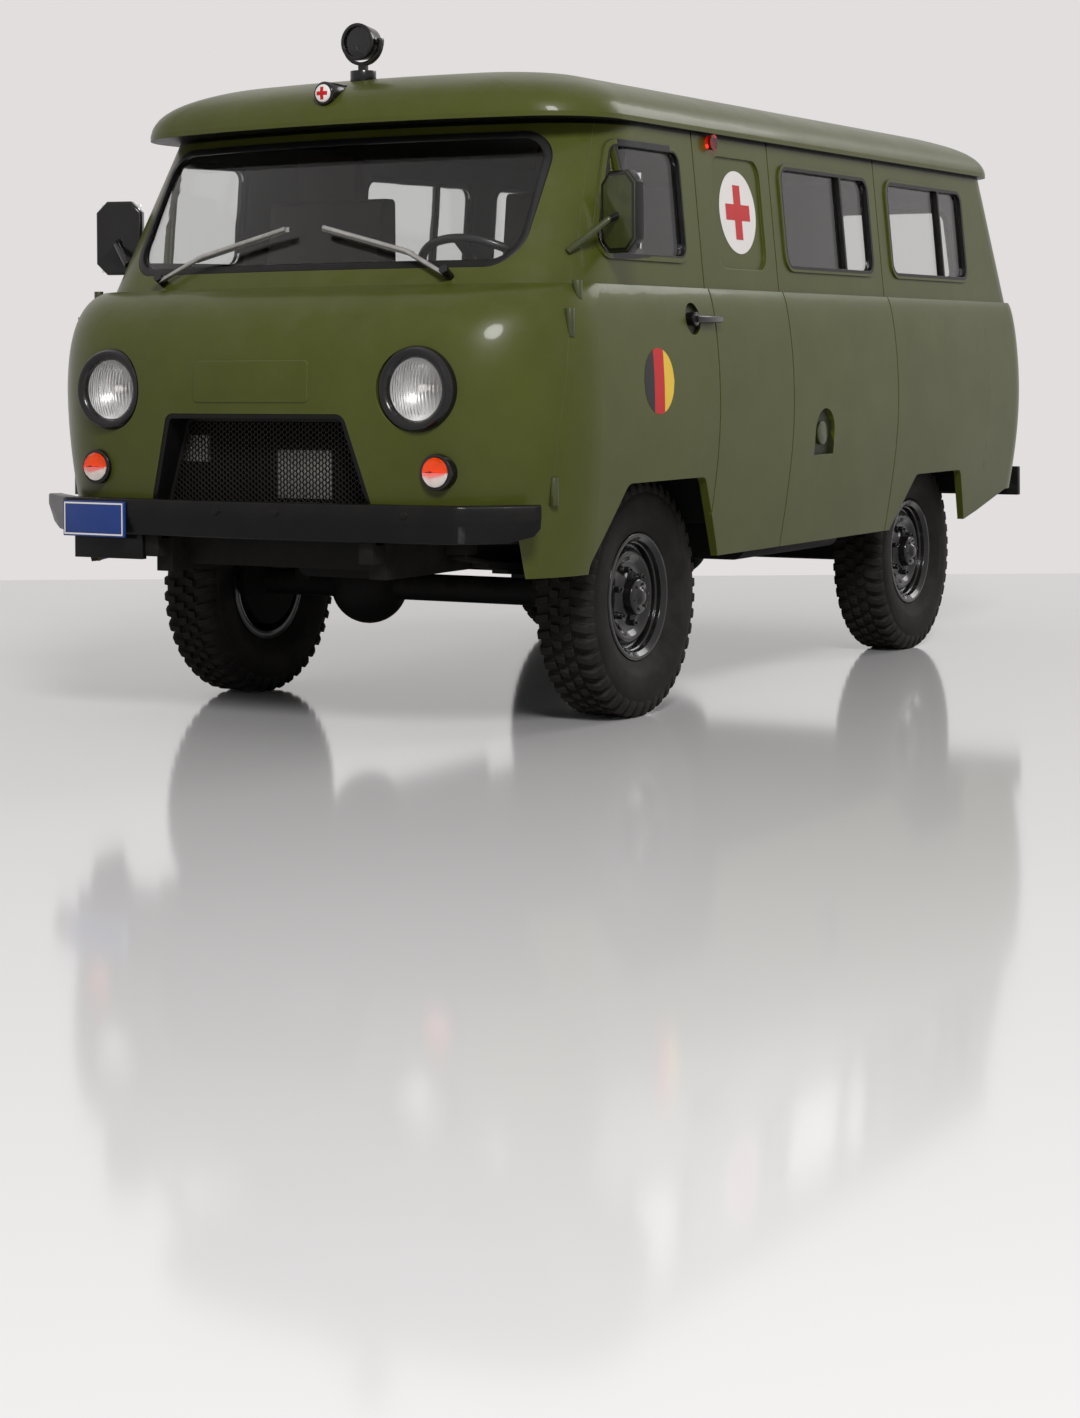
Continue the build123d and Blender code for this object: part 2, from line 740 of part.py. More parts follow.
# door mirrors, each with its arm, and their glasses on the back
for name, side in sides:
    head_place = Location((mirror_spot[0], side * mirror_spot[1], mirror_z[name]), (0, 0, -side * mirror_toe))
    foot = Vector(arm_foot[0], side * arm_foot[1], arm_foot[2])
    knee = Vector(mirror_spot[0] + 45, side * (mirror_spot[1] - 20), mirror_z[name] - 25)
    boss = Vector(mirror_spot[0] - 5, side * mirror_spot[1], mirror_z[name] - 5)
    with BuildPart() as mirror:
        with Locations(head_place):
            with BuildPart(mode=Mode.PRIVATE) as head:
                Box(mirror_deep, *mirror_size)
                chamfer(head.edges().filter_by(Axis.X), 38)
                fillet(head.faces().sort_by(Axis.X)[-1].edges(), 9)
                with Locations((-mirror_deep / 2, 0, 0)):
                    Box(8, mirror_size[0] - 20, mirror_size[1] - 20, mode=Mode.SUBTRACT)
            add(head.part)
        add(round_bar([foot, knee, boss], arm_r, 12))
        add(upper_body(), mode=Mode.SUBTRACT)
        scale(by=model_scale)
    mirror.part.label = "mirror_" + name
    export_step(mirror.part, "parts/mirror_" + name + ".step")

with BuildPart() as mirror_glasses:
    for name, side in sides:
        with Locations(Location((mirror_spot[0], side * mirror_spot[1], mirror_z[name]),
                                (0, 0, -side * mirror_toe))):
            with Locations((-mirror_deep / 2 + 2, 0, 0)):
                Box(4, mirror_size[0] - 20, mirror_size[1] - 20)
    scale(by=model_scale)
mirror_glasses.part.label = "mirror_glasses"
export_step(mirror_glasses.part, "parts/mirror_glasses.step")

# wiper arms with their pivots, clear of the glass
with BuildPart() as wiper_arms:
    for name, side in sides:
        arm = [Vector(x, side * y, z) for x, y, z in wiper_line]
        add(round_bar(arm, wiper_r, 60))
        with Locations(Location((arm[0].X - 20, arm[0].Y, arm[0].Z), (0, 60, 0))):
            Cylinder(14, 70)
    add(upper_body(), mode=Mode.SUBTRACT)
    add(lower_body(), mode=Mode.SUBTRACT)
    scale(by=model_scale)
wiper_arms.part.label = "wiper_arms"
export_step(wiper_arms.part, "parts/wiper_arms.step")

# handles, hinges and filler cap stand on the door skins and in their hollows
with BuildPart() as handle_bosses:
    for name, side in sides:
        with Locations(Location((handle_spot[0], 900 * side, handle_spot[1]), (90, 0, 0))):
            Cylinder(handle_high, 120)
    add(lower_body(-handle_depth), mode=Mode.SUBTRACT)
with BuildPart() as door_handles:
    for name, side in sides:
        y0, y1 = sorted((side * 900, side * (950 + handle_proud)))
        add(block(*handle_x, y0, y1, handle_spot[1] - handle_high / 2, handle_spot[1] + handle_high / 2, 6))
    add(block(*side_handle_x, -950 - handle_proud, -900, *load_handle_z, 6))
    add(block(-2134 - handle_proud, -2100, *rear_handle_y, *load_handle_z, 6))
    add(lower_body(), mode=Mode.SUBTRACT)
    add(handle_bosses.part)
    scale(by=model_scale)
door_handles.part.label = "door_handles"
export_step(door_handles.part, "parts/door_handles.step")

with BuildPart() as door_hinges:
    for name, side in sides:
        for x, y, z in hinges:
            with Locations((x, side * y, z)):
                Cylinder(hinge_r, hinge_high)
    add(lower_body(), mode=Mode.SUBTRACT)
    add(upper_body(), mode=Mode.SUBTRACT)
    scale(by=model_scale)
door_hinges.part.label = "door_hinges"
export_step(door_hinges.part, "parts/door_hinges.step")

with BuildPart() as filler_cap:
    with Locations(Location((filler_mid, 930, filler_z[0] + 76), (90, 0, 0))):
        Cylinder(filler_cap_r, 44)
    add(lower_body(-filler_depth), mode=Mode.SUBTRACT)
    scale(by=model_scale)
filler_cap.part.label = "filler_cap"
export_step(filler_cap.part, "parts/filler_cap.step")

# bumpers: the front one is bowed and sweeps back at its ends, the rear one is straight
with BuildPart() as front_bumper:
    front_line = bumper_line + [(x, -y) for x, y in reversed(bumper_line[:-1])]
    back_line = [(x - bumper_thick, y * 0.985) for x, y in reversed(front_line)]
    with BuildSketch(Plane.XY.offset(bumper_z[0])):
        with BuildLine():
            Polyline(*front_line, *back_line, close=True)
        make_face()
    extrude(amount=bumper_z[1] - bumper_z[0])
    fillet(front_bumper.edges().filter_by(Axis.Z, reverse=True).group_by(Axis.Z)[-1], 6)
    add(block(2112, 2134, *bumper_tab[:2], bumper_tab[2], bumper_z[0]))
    scale(by=model_scale)
front_bumper.part.label = "front_bumper"
export_step(front_bumper.part, "parts/front_bumper.step")

with BuildPart() as rear_bumper:
    add(block(*rear_bumper_x, -rear_bumper_half, rear_bumper_half, *rear_bumper_z))
    fillet(rear_bumper.faces().sort_by(Axis.X)[0].edges(), 14)
    scale(by=model_scale)
rear_bumper.part.label = "rear_bumper"
export_step(rear_bumper.part, "parts/rear_bumper.step")

with BuildPart() as number_plate:
    plate_ends = [Vector(x, -y) for x, y in bumper_line[1:3]]
    outward = (plate_ends[1] - plate_ends[0]).normalized().rotate(Axis.Z, -90) * plate_thick
    with BuildSketch(Plane.XY.offset(plate_z[0])):
        with BuildLine():
            Polyline(plate_ends[0], plate_ends[1], plate_ends[1] + outward, plate_ends[0] + outward,
                     close=True)
        make_face()
    extrude(amount=plate_z[1] - plate_z[0])
    scale(by=model_scale)
number_plate.part.label = "number_plate"
export_step(number_plate.part, "parts/number_plate.step")

# ladder frame
with BuildPart() as chassis_frame:
    rail_mid_z = sum(rail_z) / 2
    rail_high = rail_z[1] - rail_z[0]
    with Locations((0, rail_y, rail_mid_z), (0, -rail_y, rail_mid_z)):
        Box(2 * rail_end_x, rail_wide, rail_high)
    for x in crossmember_x:
        with Locations((x, 0, rail_mid_z + 10)):
            Box(70, 2 * rail_y, rail_high - 20)
    for name, side in sides:
        y0, y1 = sorted((side * (rail_y - 25), side * (rail_y + 25)))
        add(block(rail_end_x - 30, 2126, y0, y1, 540, 595))
        add(block(2106, 2126, y0, y1, 595, 622))
        add(block(rear_bumper_x[1], 30 - rail_end_x, y0, y1, 540, 595))
        hanger_y0, hanger_y1 = sorted((side * (rail_y + rail_wide / 2), side * (spring_y + spring_wide / 2)))
        for axle_x in (front_axle_x, rear_axle_x):
            for end in (-1, 1):
                hanger_x = axle_x + end * (leaf_half_lengths[0] - 30)
                add(block(hanger_x - 30, hanger_x + 30, hanger_y0, hanger_y1, *hanger_z))
    with BuildSketch(Plane.XY.offset(mount_boss_z)):
        with Locations(*[(x, 0) for x in mount_x]):
            Circle(mount_boss_r)
    extrude(amount=rail_z[1] - mount_boss_z)
    with BuildSketch(Plane.XY.offset(mount_boss_z)):
        with Locations(*[(x, 0) for x in mount_x]):
            Circle(mount_hole_r)
    extrude(amount=mount_hole_depth, mode=Mode.SUBTRACT)
    add(front_bumper.part.scale(1 / model_scale), mode=Mode.SUBTRACT)
    scale(by=model_scale)
chassis_frame.part.label = "chassis_frame"
export_step(chassis_frame.part, "parts/chassis_frame.step")

# floor, with tubs over the wheels
with BuildPart() as floor_pan:
    floor_top = floor_z + floor_thick
    with Locations((0, 0, floor_z + floor_thick / 2)):
        Box(4400, 2000, floor_thick)
    for x0, x1 in tubs_x:
        for name, side in sides:
            with Locations(((x0 + x1) / 2, side * (tub_inner_y + 1000) / 2, (floor_z + tub_top) / 2)):
                Box(x1 - x0, 1000 - tub_inner_y, tub_top - floor_z)
            inner_y = tub_inner_y + tub_wall
            with Locations(((x0 + x1) / 2, side * (inner_y + 1100) / 2, (tub_top - tub_wall) / 2)):
                Box(x1 - x0 - 2 * tub_wall, 1100 - inner_y, tub_top - tub_wall, mode=Mode.SUBTRACT)
    add(lower_body(-wall, down=20), mode=Mode.INTERSECT)
    scale(by=model_scale)
floor_pan.part.label = "floor_pan"
export_step(floor_pan.part, "parts/floor_pan.step")

# axles with their drums and stubs, on leaf springs
for name, axle_x, nose_way in (("front_axle", front_axle_x, -1), ("rear_axle", rear_axle_x, 1)):
    with BuildPart() as axle:
        with Locations(Location((axle_x, 0, axle_z), (90, 0, 0))):
            Cylinder(axle_tube_r, 2 * drum_y[0])
        with Locations((axle_x, diff_y, axle_z)):
            Sphere(diff_r)
        with Locations(Location((axle_x + nose_way * (diff_r + 5), diff_y, axle_z), (0, 90, 0))):
            Cylinder(diff_nose_r, 60)
        for name_side, side in sides:
            with Locations(Location((axle_x, side * sum(drum_y) / 2, axle_z), (90, 0, 0))):
                Cylinder(drum_r, drum_y[1] - drum_y[0])
            with Locations(Location((axle_x, side * (drum_y[1] + stub_length / 2), axle_z), (90, 0, 0))):
                Cylinder(stub_r, stub_length)
            with Locations((axle_x, side * spring_y, axle_z + axle_tube_r - spring_pad / 2)):
                Box(110, spring_wide, 2 * spring_pad)
        scale(by=model_scale)
    axle.part.label = name
    export_step(axle.part, "parts/" + name + ".step")

with BuildPart() as leaf_springs:
    spring_low = axle_z + axle_tube_r + spring_pad / 2
    for axle_x in (front_axle_x, rear_axle_x):
        for y in (spring_y, -spring_y):
            for leaf, half_length in enumerate(leaf_half_lengths):
                bottom = spring_low + leaf_thick * (len(leaf_half_lengths) - 1 - leaf)
                rise = leaf_rise * (half_length / leaf_half_lengths[0]) ** 2
                ends = [(axle_x + end * half_length, bottom + rise) for end in (-1, 1)]
                tops = [(x, z + leaf_thick) for x, z in ends]
                with BuildSketch(Plane.XZ.offset(-y - spring_wide / 2)):
                    with BuildLine():
                        ThreePointArc(ends[0], (axle_x, bottom), ends[1])
                        Line(ends[1], tops[1])
                        ThreePointArc(tops[1], (axle_x, bottom + leaf_thick), tops[0])
                        Line(tops[0], ends[0])
                    make_face()
                extrude(amount=spring_wide)
    scale(by=model_scale)
leaf_springs.part.label = "leaf_springs"
export_step(leaf_springs.part, "parts/leaf_springs.step")

# engine and gearbox under the floor, each a plain block, and the shafts to both axles
with BuildPart() as engine_block:
    add(block(*gearbox_box, radius=40))
    add(block(*sump_box, radius=40))
    scale(by=model_scale)
engine_block.part.label = "engine_block"
export_step(engine_block.part, "parts/engine_block.step")

with BuildPart() as drive_shafts:
    for box_x, axle_x, way in ((gearbox_box[1], front_axle_x, -1), (gearbox_box[0], rear_axle_x, 1)):
        ends = [Vector(box_x, diff_y, shaft_z + 10), Vector(axle_x + way * (diff_r + 35), diff_y, axle_z)]
        run = ends[1] - ends[0]
        with BuildSketch(Plane(origin=ends[0], z_dir=run)):
            Circle(shaft_r)
        extrude(amount=run.length)
    with Locations(((gearbox_box[0] + gearbox_box[1]) / 2, 0, axle_z)):
        Box(gearbox_box[1] - gearbox_box[0], 1000, 600, mode=Mode.SUBTRACT)
    for axle_x, way in ((front_axle_x, -1), (rear_axle_x, 1)):
        with Locations((axle_x + way * 65, diff_y, axle_z)):
            Box(200, 200, 200, mode=Mode.SUBTRACT)
    scale(by=model_scale)
drive_shafts.part.label = "drive_shafts"
export_step(drive_shafts.part, "parts/drive_shafts.step")

with BuildPart() as exhaust:
    add(round_bar(muffler_line, pipe_r, 80))
    muffler_mid = (sum(muffler_x) / 2, muffler_line[0][1], muffler_line[0][2])
    with Locations(Location(muffler_mid, (0, 90, 0))):
        Cylinder(muffler_r, muffler_x[1] - muffler_x[0])
    with Locations((muffler_x[1] - 60, muffler_mid[1], (muffler_mid[2] + floor_z) / 2)):
        Box(40, 40, floor_z - muffler_mid[2])
    scale(by=model_scale)
exhaust.part.label = "exhaust"
export_step(exhaust.part, "parts/exhaust.step")

with BuildPart() as fuel_tank:
    add(block(*tank_box, radius=45))
    scale(by=model_scale)
fuel_tank.part.label = "fuel_tank"
export_step(fuel_tank.part, "parts/fuel_tank.step")

# interior, seen through the glass: two seats, side benches, engine cover, dashboard and wheel
with BuildPart() as front_seats:
    for y in (seat_y, -seat_y):
        with BuildSketch(Plane.XZ.offset(-y - 230)):
            with BuildLine():
                FilletPolyline(*seat_profile, radius=22, close=True)
            make_face()
        extrude(amount=460)
        add(block(*headrest_box[:2], y - 120, y + 120, headrest_box[2] - 30, headrest_box[3], radius=30))
        add(block(1000, 1420, y - 190, y + 190, tub_top, 1010))
    scale(by=model_scale)
front_seats.part.label = "front_seats"
export_step(front_seats.part, "parts/front_seats.step")

with BuildPart() as load_benches:
    for name, side in sides:
        with BuildSketch(Plane.YZ.offset(bench_x[0])):
            with BuildLine():
                Polyline(*[(side * y, z) for y, z in bench_profile], close=True)
            make_face()
        extrude(amount=bench_x[1] - bench_x[0])
    add(lower_body(-wall - 4), mode=Mode.INTERSECT)
    scale(by=model_scale)
load_benches.part.label = "load_benches"
export_step(load_benches.part, "parts/load_benches.step")

with BuildPart() as dash_board:
    with BuildSketch(Plane.XZ.offset(-dash_half)):
        with BuildLine():
            FilletPolyline(*dash_profile, radius=18, close=True)
        make_face()
    extrude(amount=2 * dash_half)
    add(lower_body(-wall - 4), mode=Mode.INTERSECT)

with BuildPart() as dashboard:
    add(dash_board.part)
    scale(by=model_scale)
dashboard.part.label = "dashboard"
export_step(dashboard.part, "parts/dashboard.step")

with BuildPart() as steering_wheel:
    with Locations(Location(steering_spot, (0, steering_tilt, 0))):
        Torus(steering_r, steering_rim_r)
        Box(2 * steering_r, 28, 12)
        Box(28, 2 * steering_r, 12)
        Cylinder(42, 34)
        with Locations((0, 0, -150)):
            Cylinder(24, 300)
    add(dash_board.part, mode=Mode.SUBTRACT)
    with Locations((1900, 480, 1100)):
        Box(420, 400, 160, mode=Mode.SUBTRACT)
    scale(by=model_scale)
steering_wheel.part.label = "steering_wheel"
export_step(steering_wheel.part, "parts/steering_wheel.step")

with BuildPart() as engine_cover:
    add(block(*cover_box, radius=60))
    scale(by=model_scale)
engine_cover.part.label = "engine_cover"
export_step(engine_cover.part, "parts/engine_cover.step")

# tyre: a ring of flats lofted from bead to bead, with a lug across the tread on each flat
with BuildPart() as lugged_tyre:
    for y, radius in tyre_rings:
        with BuildSketch(Plane.XZ.offset(-y)):
            RegularPolygon(radius, lug_count, rotation=180 / lug_count)
    loft(ruled=True)
    lug_root = tread_r - 14
    with BuildSketch(Plane.XZ.offset(-tread_half_width)):
        with PolarLocations((lug_root + tyre_r) / 2, lug_count):
            Rectangle(tyre_r - lug_root, lug_wide)
    extrude(amount=2 * tread_half_width)
    with Locations(Location((0, 0, 0), (90, 0, 0))):
        Cylinder(bead_r, 400, mode=Mode.SUBTRACT)

# wheels: tyre and rim turn together on the stub
for name, wheel_x, side in (("front_left", front_axle_x, 1), ("front_right", front_axle_x, -1),
                            ("rear_left", rear_axle_x, 1), ("rear_right", rear_axle_x, -1)):
    spot = Location((wheel_x, side * wheel_y, axle_z), (0, 0, 0 if side == 1 else 180))
    with BuildPart() as tyre:
        with Locations(spot):
            add(lugged_tyre.part)
        scale(by=model_scale)
    tyre.part.label = "tyre_" + name
    export_step(tyre.part, "parts/tyre_" + name + ".step")
    with BuildPart() as rim:
        with Locations(spot):
            add(turned([(0, stub_bore_y), (0, 98), (24, 96), (38, 84), (58, 80), (62, 44), (92, 34),
                        (112, 34), (138, 50), (152, 44), (160, 26), (168, 28), (174, bead_half_width + 8),
                        (205, bead_half_width + 8), (205, bead_half_width), (bead_r, bead_half_width),
                        (bead_r, -bead_half_width), (205, -bead_half_width), (205, -bead_half_width - 8),
                        (174, -bead_half_width - 8), (164, 6), (150, 24), (136, 30), (112, 14), (62, 10),
                        (55, -10), (stub_bore_r, -10), (stub_bore_r, stub_bore_y)], Axis.Y))
        scale(by=model_scale)
    rim.part.label = "rim_" + name
    export_step(rim.part, "parts/rim_" + name + ".step")
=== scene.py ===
import math

import bmesh
import bpy
from mathutils import Matrix, Vector
from mathutils.bvhtree import BVHTree


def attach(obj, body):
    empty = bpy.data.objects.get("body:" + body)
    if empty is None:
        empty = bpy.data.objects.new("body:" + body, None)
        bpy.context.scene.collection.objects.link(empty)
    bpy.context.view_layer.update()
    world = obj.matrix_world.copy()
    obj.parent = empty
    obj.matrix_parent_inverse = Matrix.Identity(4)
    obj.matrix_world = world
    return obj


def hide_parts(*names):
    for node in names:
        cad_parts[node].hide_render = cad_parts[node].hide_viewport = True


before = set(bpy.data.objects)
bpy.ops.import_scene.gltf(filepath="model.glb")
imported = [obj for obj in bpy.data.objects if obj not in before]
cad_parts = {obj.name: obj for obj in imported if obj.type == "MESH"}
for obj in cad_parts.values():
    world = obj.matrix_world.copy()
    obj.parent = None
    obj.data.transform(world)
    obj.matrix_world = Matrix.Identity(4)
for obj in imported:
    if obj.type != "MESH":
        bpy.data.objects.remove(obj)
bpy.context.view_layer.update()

mm = 1 / 24000  # one millimetre of the full-size van on the 1:24 model, in metres
depsgraph = bpy.context.evaluated_depsgraph_get
bodySides = (("left", 1), ("right", -1))
axles = {"front": 1155, "rear": -1145}
wheelAside, wheelHigh, wheelSharp = 725, 385, 38


def at(x, y, z):
    return Vector((x, y, z)) * mm


def placed(name, data):
    thing = bpy.data.objects.new(name, data)
    bpy.context.scene.collection.objects.link(thing)
    return thing


def srgb(red, green, blue):
    return tuple((c / 255 / 12.92) if c < 11 else ((c / 255 + 0.055) / 1.055) ** 2.4
                 for c in (red, green, blue)) + (1.0,)


def newTree(kind, name, inputs, outputs):
    tree = bpy.data.node_groups.new(name, kind)
    for label, socketKind, value in inputs:
        socket = tree.interface.new_socket(label, in_out="INPUT", socket_type="NodeSocket" + socketKind)
        if value is not None:
            socket.default_value = value
    for label, socketKind in outputs:
        tree.interface.new_socket(label, in_out="OUTPUT", socket_type="NodeSocket" + socketKind)
    return tree, tree.nodes.new("NodeGroupInput").outputs, tree.nodes.new("NodeGroupOutput").inputs


def addNode(tree, kind, feeds=(), **settings):
    node = tree.nodes.new(kind)
    for key, value in settings.items():
        setattr(node, key, value)
    for key, value in feeds:
        if isinstance(value, bpy.types.NodeSocket):
            tree.links.new(value, node.inputs[key])
        else:
            node.inputs[key].default_value = value
    return node


def calc(tree, operation, first, second=0.0, clamp=False):
    return addNode(tree, "ShaderNodeMath", [(0, first), (1, second)], operation=operation,
                   use_clamp=clamp).outputs[0]


# inputs 6 and 7 and output 2 are the node's colours
def mixed(tree, mask, first, second):
    return addNode(tree, "ShaderNodeMix", [(0, mask), (6, first), (7, second)], data_type="RGBA").outputs[2]


def newMaterial(name):
    material = bpy.data.materials.new(name)
    material.use_nodes = True
    return material, material.node_tree, material.node_tree.nodes["Principled BSDF"]


def setInputs(node, **values):
    for key, value in values.items():
        node.inputs[key.replace("_", " ")].default_value = value


rig = {
    "cameraAt": (8691.1, 4768.4, 1131.9),
    "yaw": 0.53274, "pitch": -0.01473, "roll": -0.00644,
    "focal": 2659, "centre": (509.15, 403.28), "frame": (1080, 1418), "sensor": 36, "clip": (0.01, 20),
    "floor": srgb(214, 212, 212), "floorRough": 0.09,
    "backdrop": srgb(226, 222, 222), "worldLight": 0.42, "floorDeep": 14126, "floorReach": 72000,
    "lamps": [  # name, place, power, size, aim
        ("keySoftbox", (10500, 7600, 8800), 2.4, 3400, (300, 300, 900)),
        ("rearSoftbox", (-12000, 7000, 9000), 1.0, 7000, (-800, 0, 900)),
    ],
}


def makeCamera():
    data = bpy.data.cameras.new("photoCamera")
    camera = placed("photoCamera", data)
    yaw, pitch, roll = rig["yaw"], rig["pitch"], rig["roll"]
    forward = Vector((-math.cos(yaw) * math.cos(pitch), -math.sin(yaw) * math.cos(pitch), math.sin(pitch)))
    right = forward.cross(Vector((0, 0, 1))).normalized()
    up = right.cross(forward)
    tiltedRight = math.cos(roll) * right + math.sin(roll) * up
    tiltedUp = math.cos(roll) * up - math.sin(roll) * right
    turn = Matrix((tiltedRight, tiltedUp, -forward)).transposed().to_4x4()
    camera.matrix_world = Matrix.Translation(at(*rig["cameraAt"])) @ turn
    wide, high = rig["frame"]
    data.sensor_width = rig["sensor"]
    data.lens = rig["sensor"] * rig["focal"] / high
    data.shift_x = (wide / 2 - rig["centre"][0]) / high
    data.shift_y = (rig["centre"][1] - high / 2) / high
    data.clip_start, data.clip_end = rig["clip"]
    bpy.context.scene.camera = camera


def makeLamps():
    for name, place, power, size, aim in rig["lamps"]:
        data = bpy.data.lights.new(name, "AREA")
        data.shape = "DISK"
        data.energy, data.size = power, size * mm
        lamp = placed(name, data)
        lamp.location = at(*place)
        lamp.rotation_euler = (at(*aim) - at(*place)).to_track_quat("-Z", "Y").to_euler()


def makeWorld():
    world = bpy.data.worlds.new("studioWorld")
    world.use_nodes = True
    bpy.context.scene.world = world
    tree = world.node_tree
    light = tree.nodes["Background"]
    setInputs(light, Color=(1, 1, 1, 1), Strength=rig["worldLight"])
    shown = addNode(tree, "ShaderNodeBackground", [("Color", rig["backdrop"])])
    ray = addNode(tree, "ShaderNodeLightPath").outputs
    seen = calc(tree, "MAXIMUM", ray["Is Camera Ray"], ray["Is Glossy Ray"])
    seen = calc(tree, "MAXIMUM", seen, ray["Is Transmission Ray"])
    mix = addNode(tree, "ShaderNodeMixShader", [("Fac", seen), (1, light.outputs[0]), (2, shown.outputs[0])])
    tree.links.new(mix.outputs[0], tree.nodes["World Output"].inputs["Surface"])


def makeFloor():
    mesh = bpy.data.meshes.new("studioFloor")
    x, y, _ = rig["cameraAt"]
    ahead = Vector((-math.cos(rig["yaw"]), -math.sin(rig["yaw"]), 0))
    aside = Vector((ahead.y, -ahead.x, 0))
    deep, reach = rig["floorDeep"], rig["floorReach"]
    corners = [(Vector((x, y, 0)) + ahead * far + aside * wide) * mm
               for far, wide in ((deep, -reach), (-reach, -reach), (-reach, reach), (deep, reach))]
    mesh.from_pydata(corners, [], [(0, 1, 2, 3)])
    if mesh.polygons[0].normal.z < 0:
        mesh.flip_normals()
    floor = placed("studioFloor", mesh)
    material, _, shader = newMaterial("paleFloor")
    setInputs(shader, Base_Color=rig["floor"], Roughness=rig["floorRough"])
    mesh.materials.append(material)


bpy.context.scene.view_settings.view_transform = "Standard"
makeCamera()
makeLamps()
makeWorld()
makeFloor()
print("studio ready")


def grainGroup():
    tree, given, out = newTree("ShaderNodeTree", "surfaceGrain", [
        ("Fine Scale", "Float", 900.0), ("Cloud Scale", "Float", 60.0),
    ], [("Height", "Float"), ("Cloud", "Float")])
    place = addNode(tree, "ShaderNodeTexCoord").outputs["Object"]
    fine = addNode(tree, "ShaderNodeTexNoise", [("Vector", place), ("Scale", given["Fine Scale"]), ("Detail", 3.0)])
    cloud = addNode(tree, "ShaderNodeTexNoise",
                    [("Vector", place), ("Scale", given["Cloud Scale"]), ("Detail", 5.0), ("Roughness", 0.6)])
    tree.links.new(fine.outputs["Fac"], out["Height"])
    tree.links.new(cloud.outputs["Fac"], out["Cloud"])
    return tree


def dustGroup():
    tree, given, out = newTree("ShaderNodeTree", "settledDust", [
        ("Amount", "Float", 0.2), ("Scale", "Float", 220.0),
    ], [("Mask", "Float")])
    place = addNode(tree, "ShaderNodeTexCoord").outputs["Object"]
    specks = addNode(tree, "ShaderNodeTexNoise", [("Vector", place), ("Scale", given["Scale"]), ("Detail", 8.0),
                                                  ("Roughness", 0.7)])
    facing = addNode(tree, "ShaderNodeSeparateXYZ",
                     [(0, addNode(tree, "ShaderNodeNewGeometry").outputs["Normal"])]).outputs["Z"]
    upward = calc(tree, "MULTIPLY_ADD", facing, 0.75, clamp=True)
    patchy = addNode(tree, "ShaderNodeMapRange", [("Value", specks.outputs["Fac"]), ("From Min", 0.42),
                                                  ("From Max", 0.78)]).outputs[0]
    tree.links.new(calc(tree, "MULTIPLY", calc(tree, "MULTIPLY", upward, patchy), given["Amount"]), out["Mask"])
    return tree


# a mask along edges, where a finish mixes in its edge colour: lighter edges are a painted highlight, the darker edges
# of the green trim are worn paint
def edgeGroup():
    tree, given, out = newTree("ShaderNodeTree", "edgeWearAndHighlight", [
        ("Width", "Float", 0.0001), ("Amount", "Float", 0.5),
    ], [("Mask", "Float"), ("Normal", "Vector")])
    rounded = addNode(tree, "ShaderNodeBevel", [("Radius", given["Width"])], samples=4)
    plain = addNode(tree, "ShaderNodeNewGeometry").outputs["Normal"]
    agree = addNode(tree, "ShaderNodeVectorMath", [(0, rounded.outputs[0]), (1, plain)],
                    operation="DOT_PRODUCT").outputs["Value"]
    away = addNode(tree, "ShaderNodeMapRange",
                   [("Value", agree), ("From Min", 0.985), ("From Max", 0.80)]).outputs[0]
    tree.links.new(calc(tree, "MULTIPLY", away, given["Amount"]), out["Mask"])
    tree.links.new(rounded.outputs[0], out["Normal"])
    return tree


grain, dust, edgeWearAndHighlightTree = grainGroup(), dustGroup(), edgeGroup()


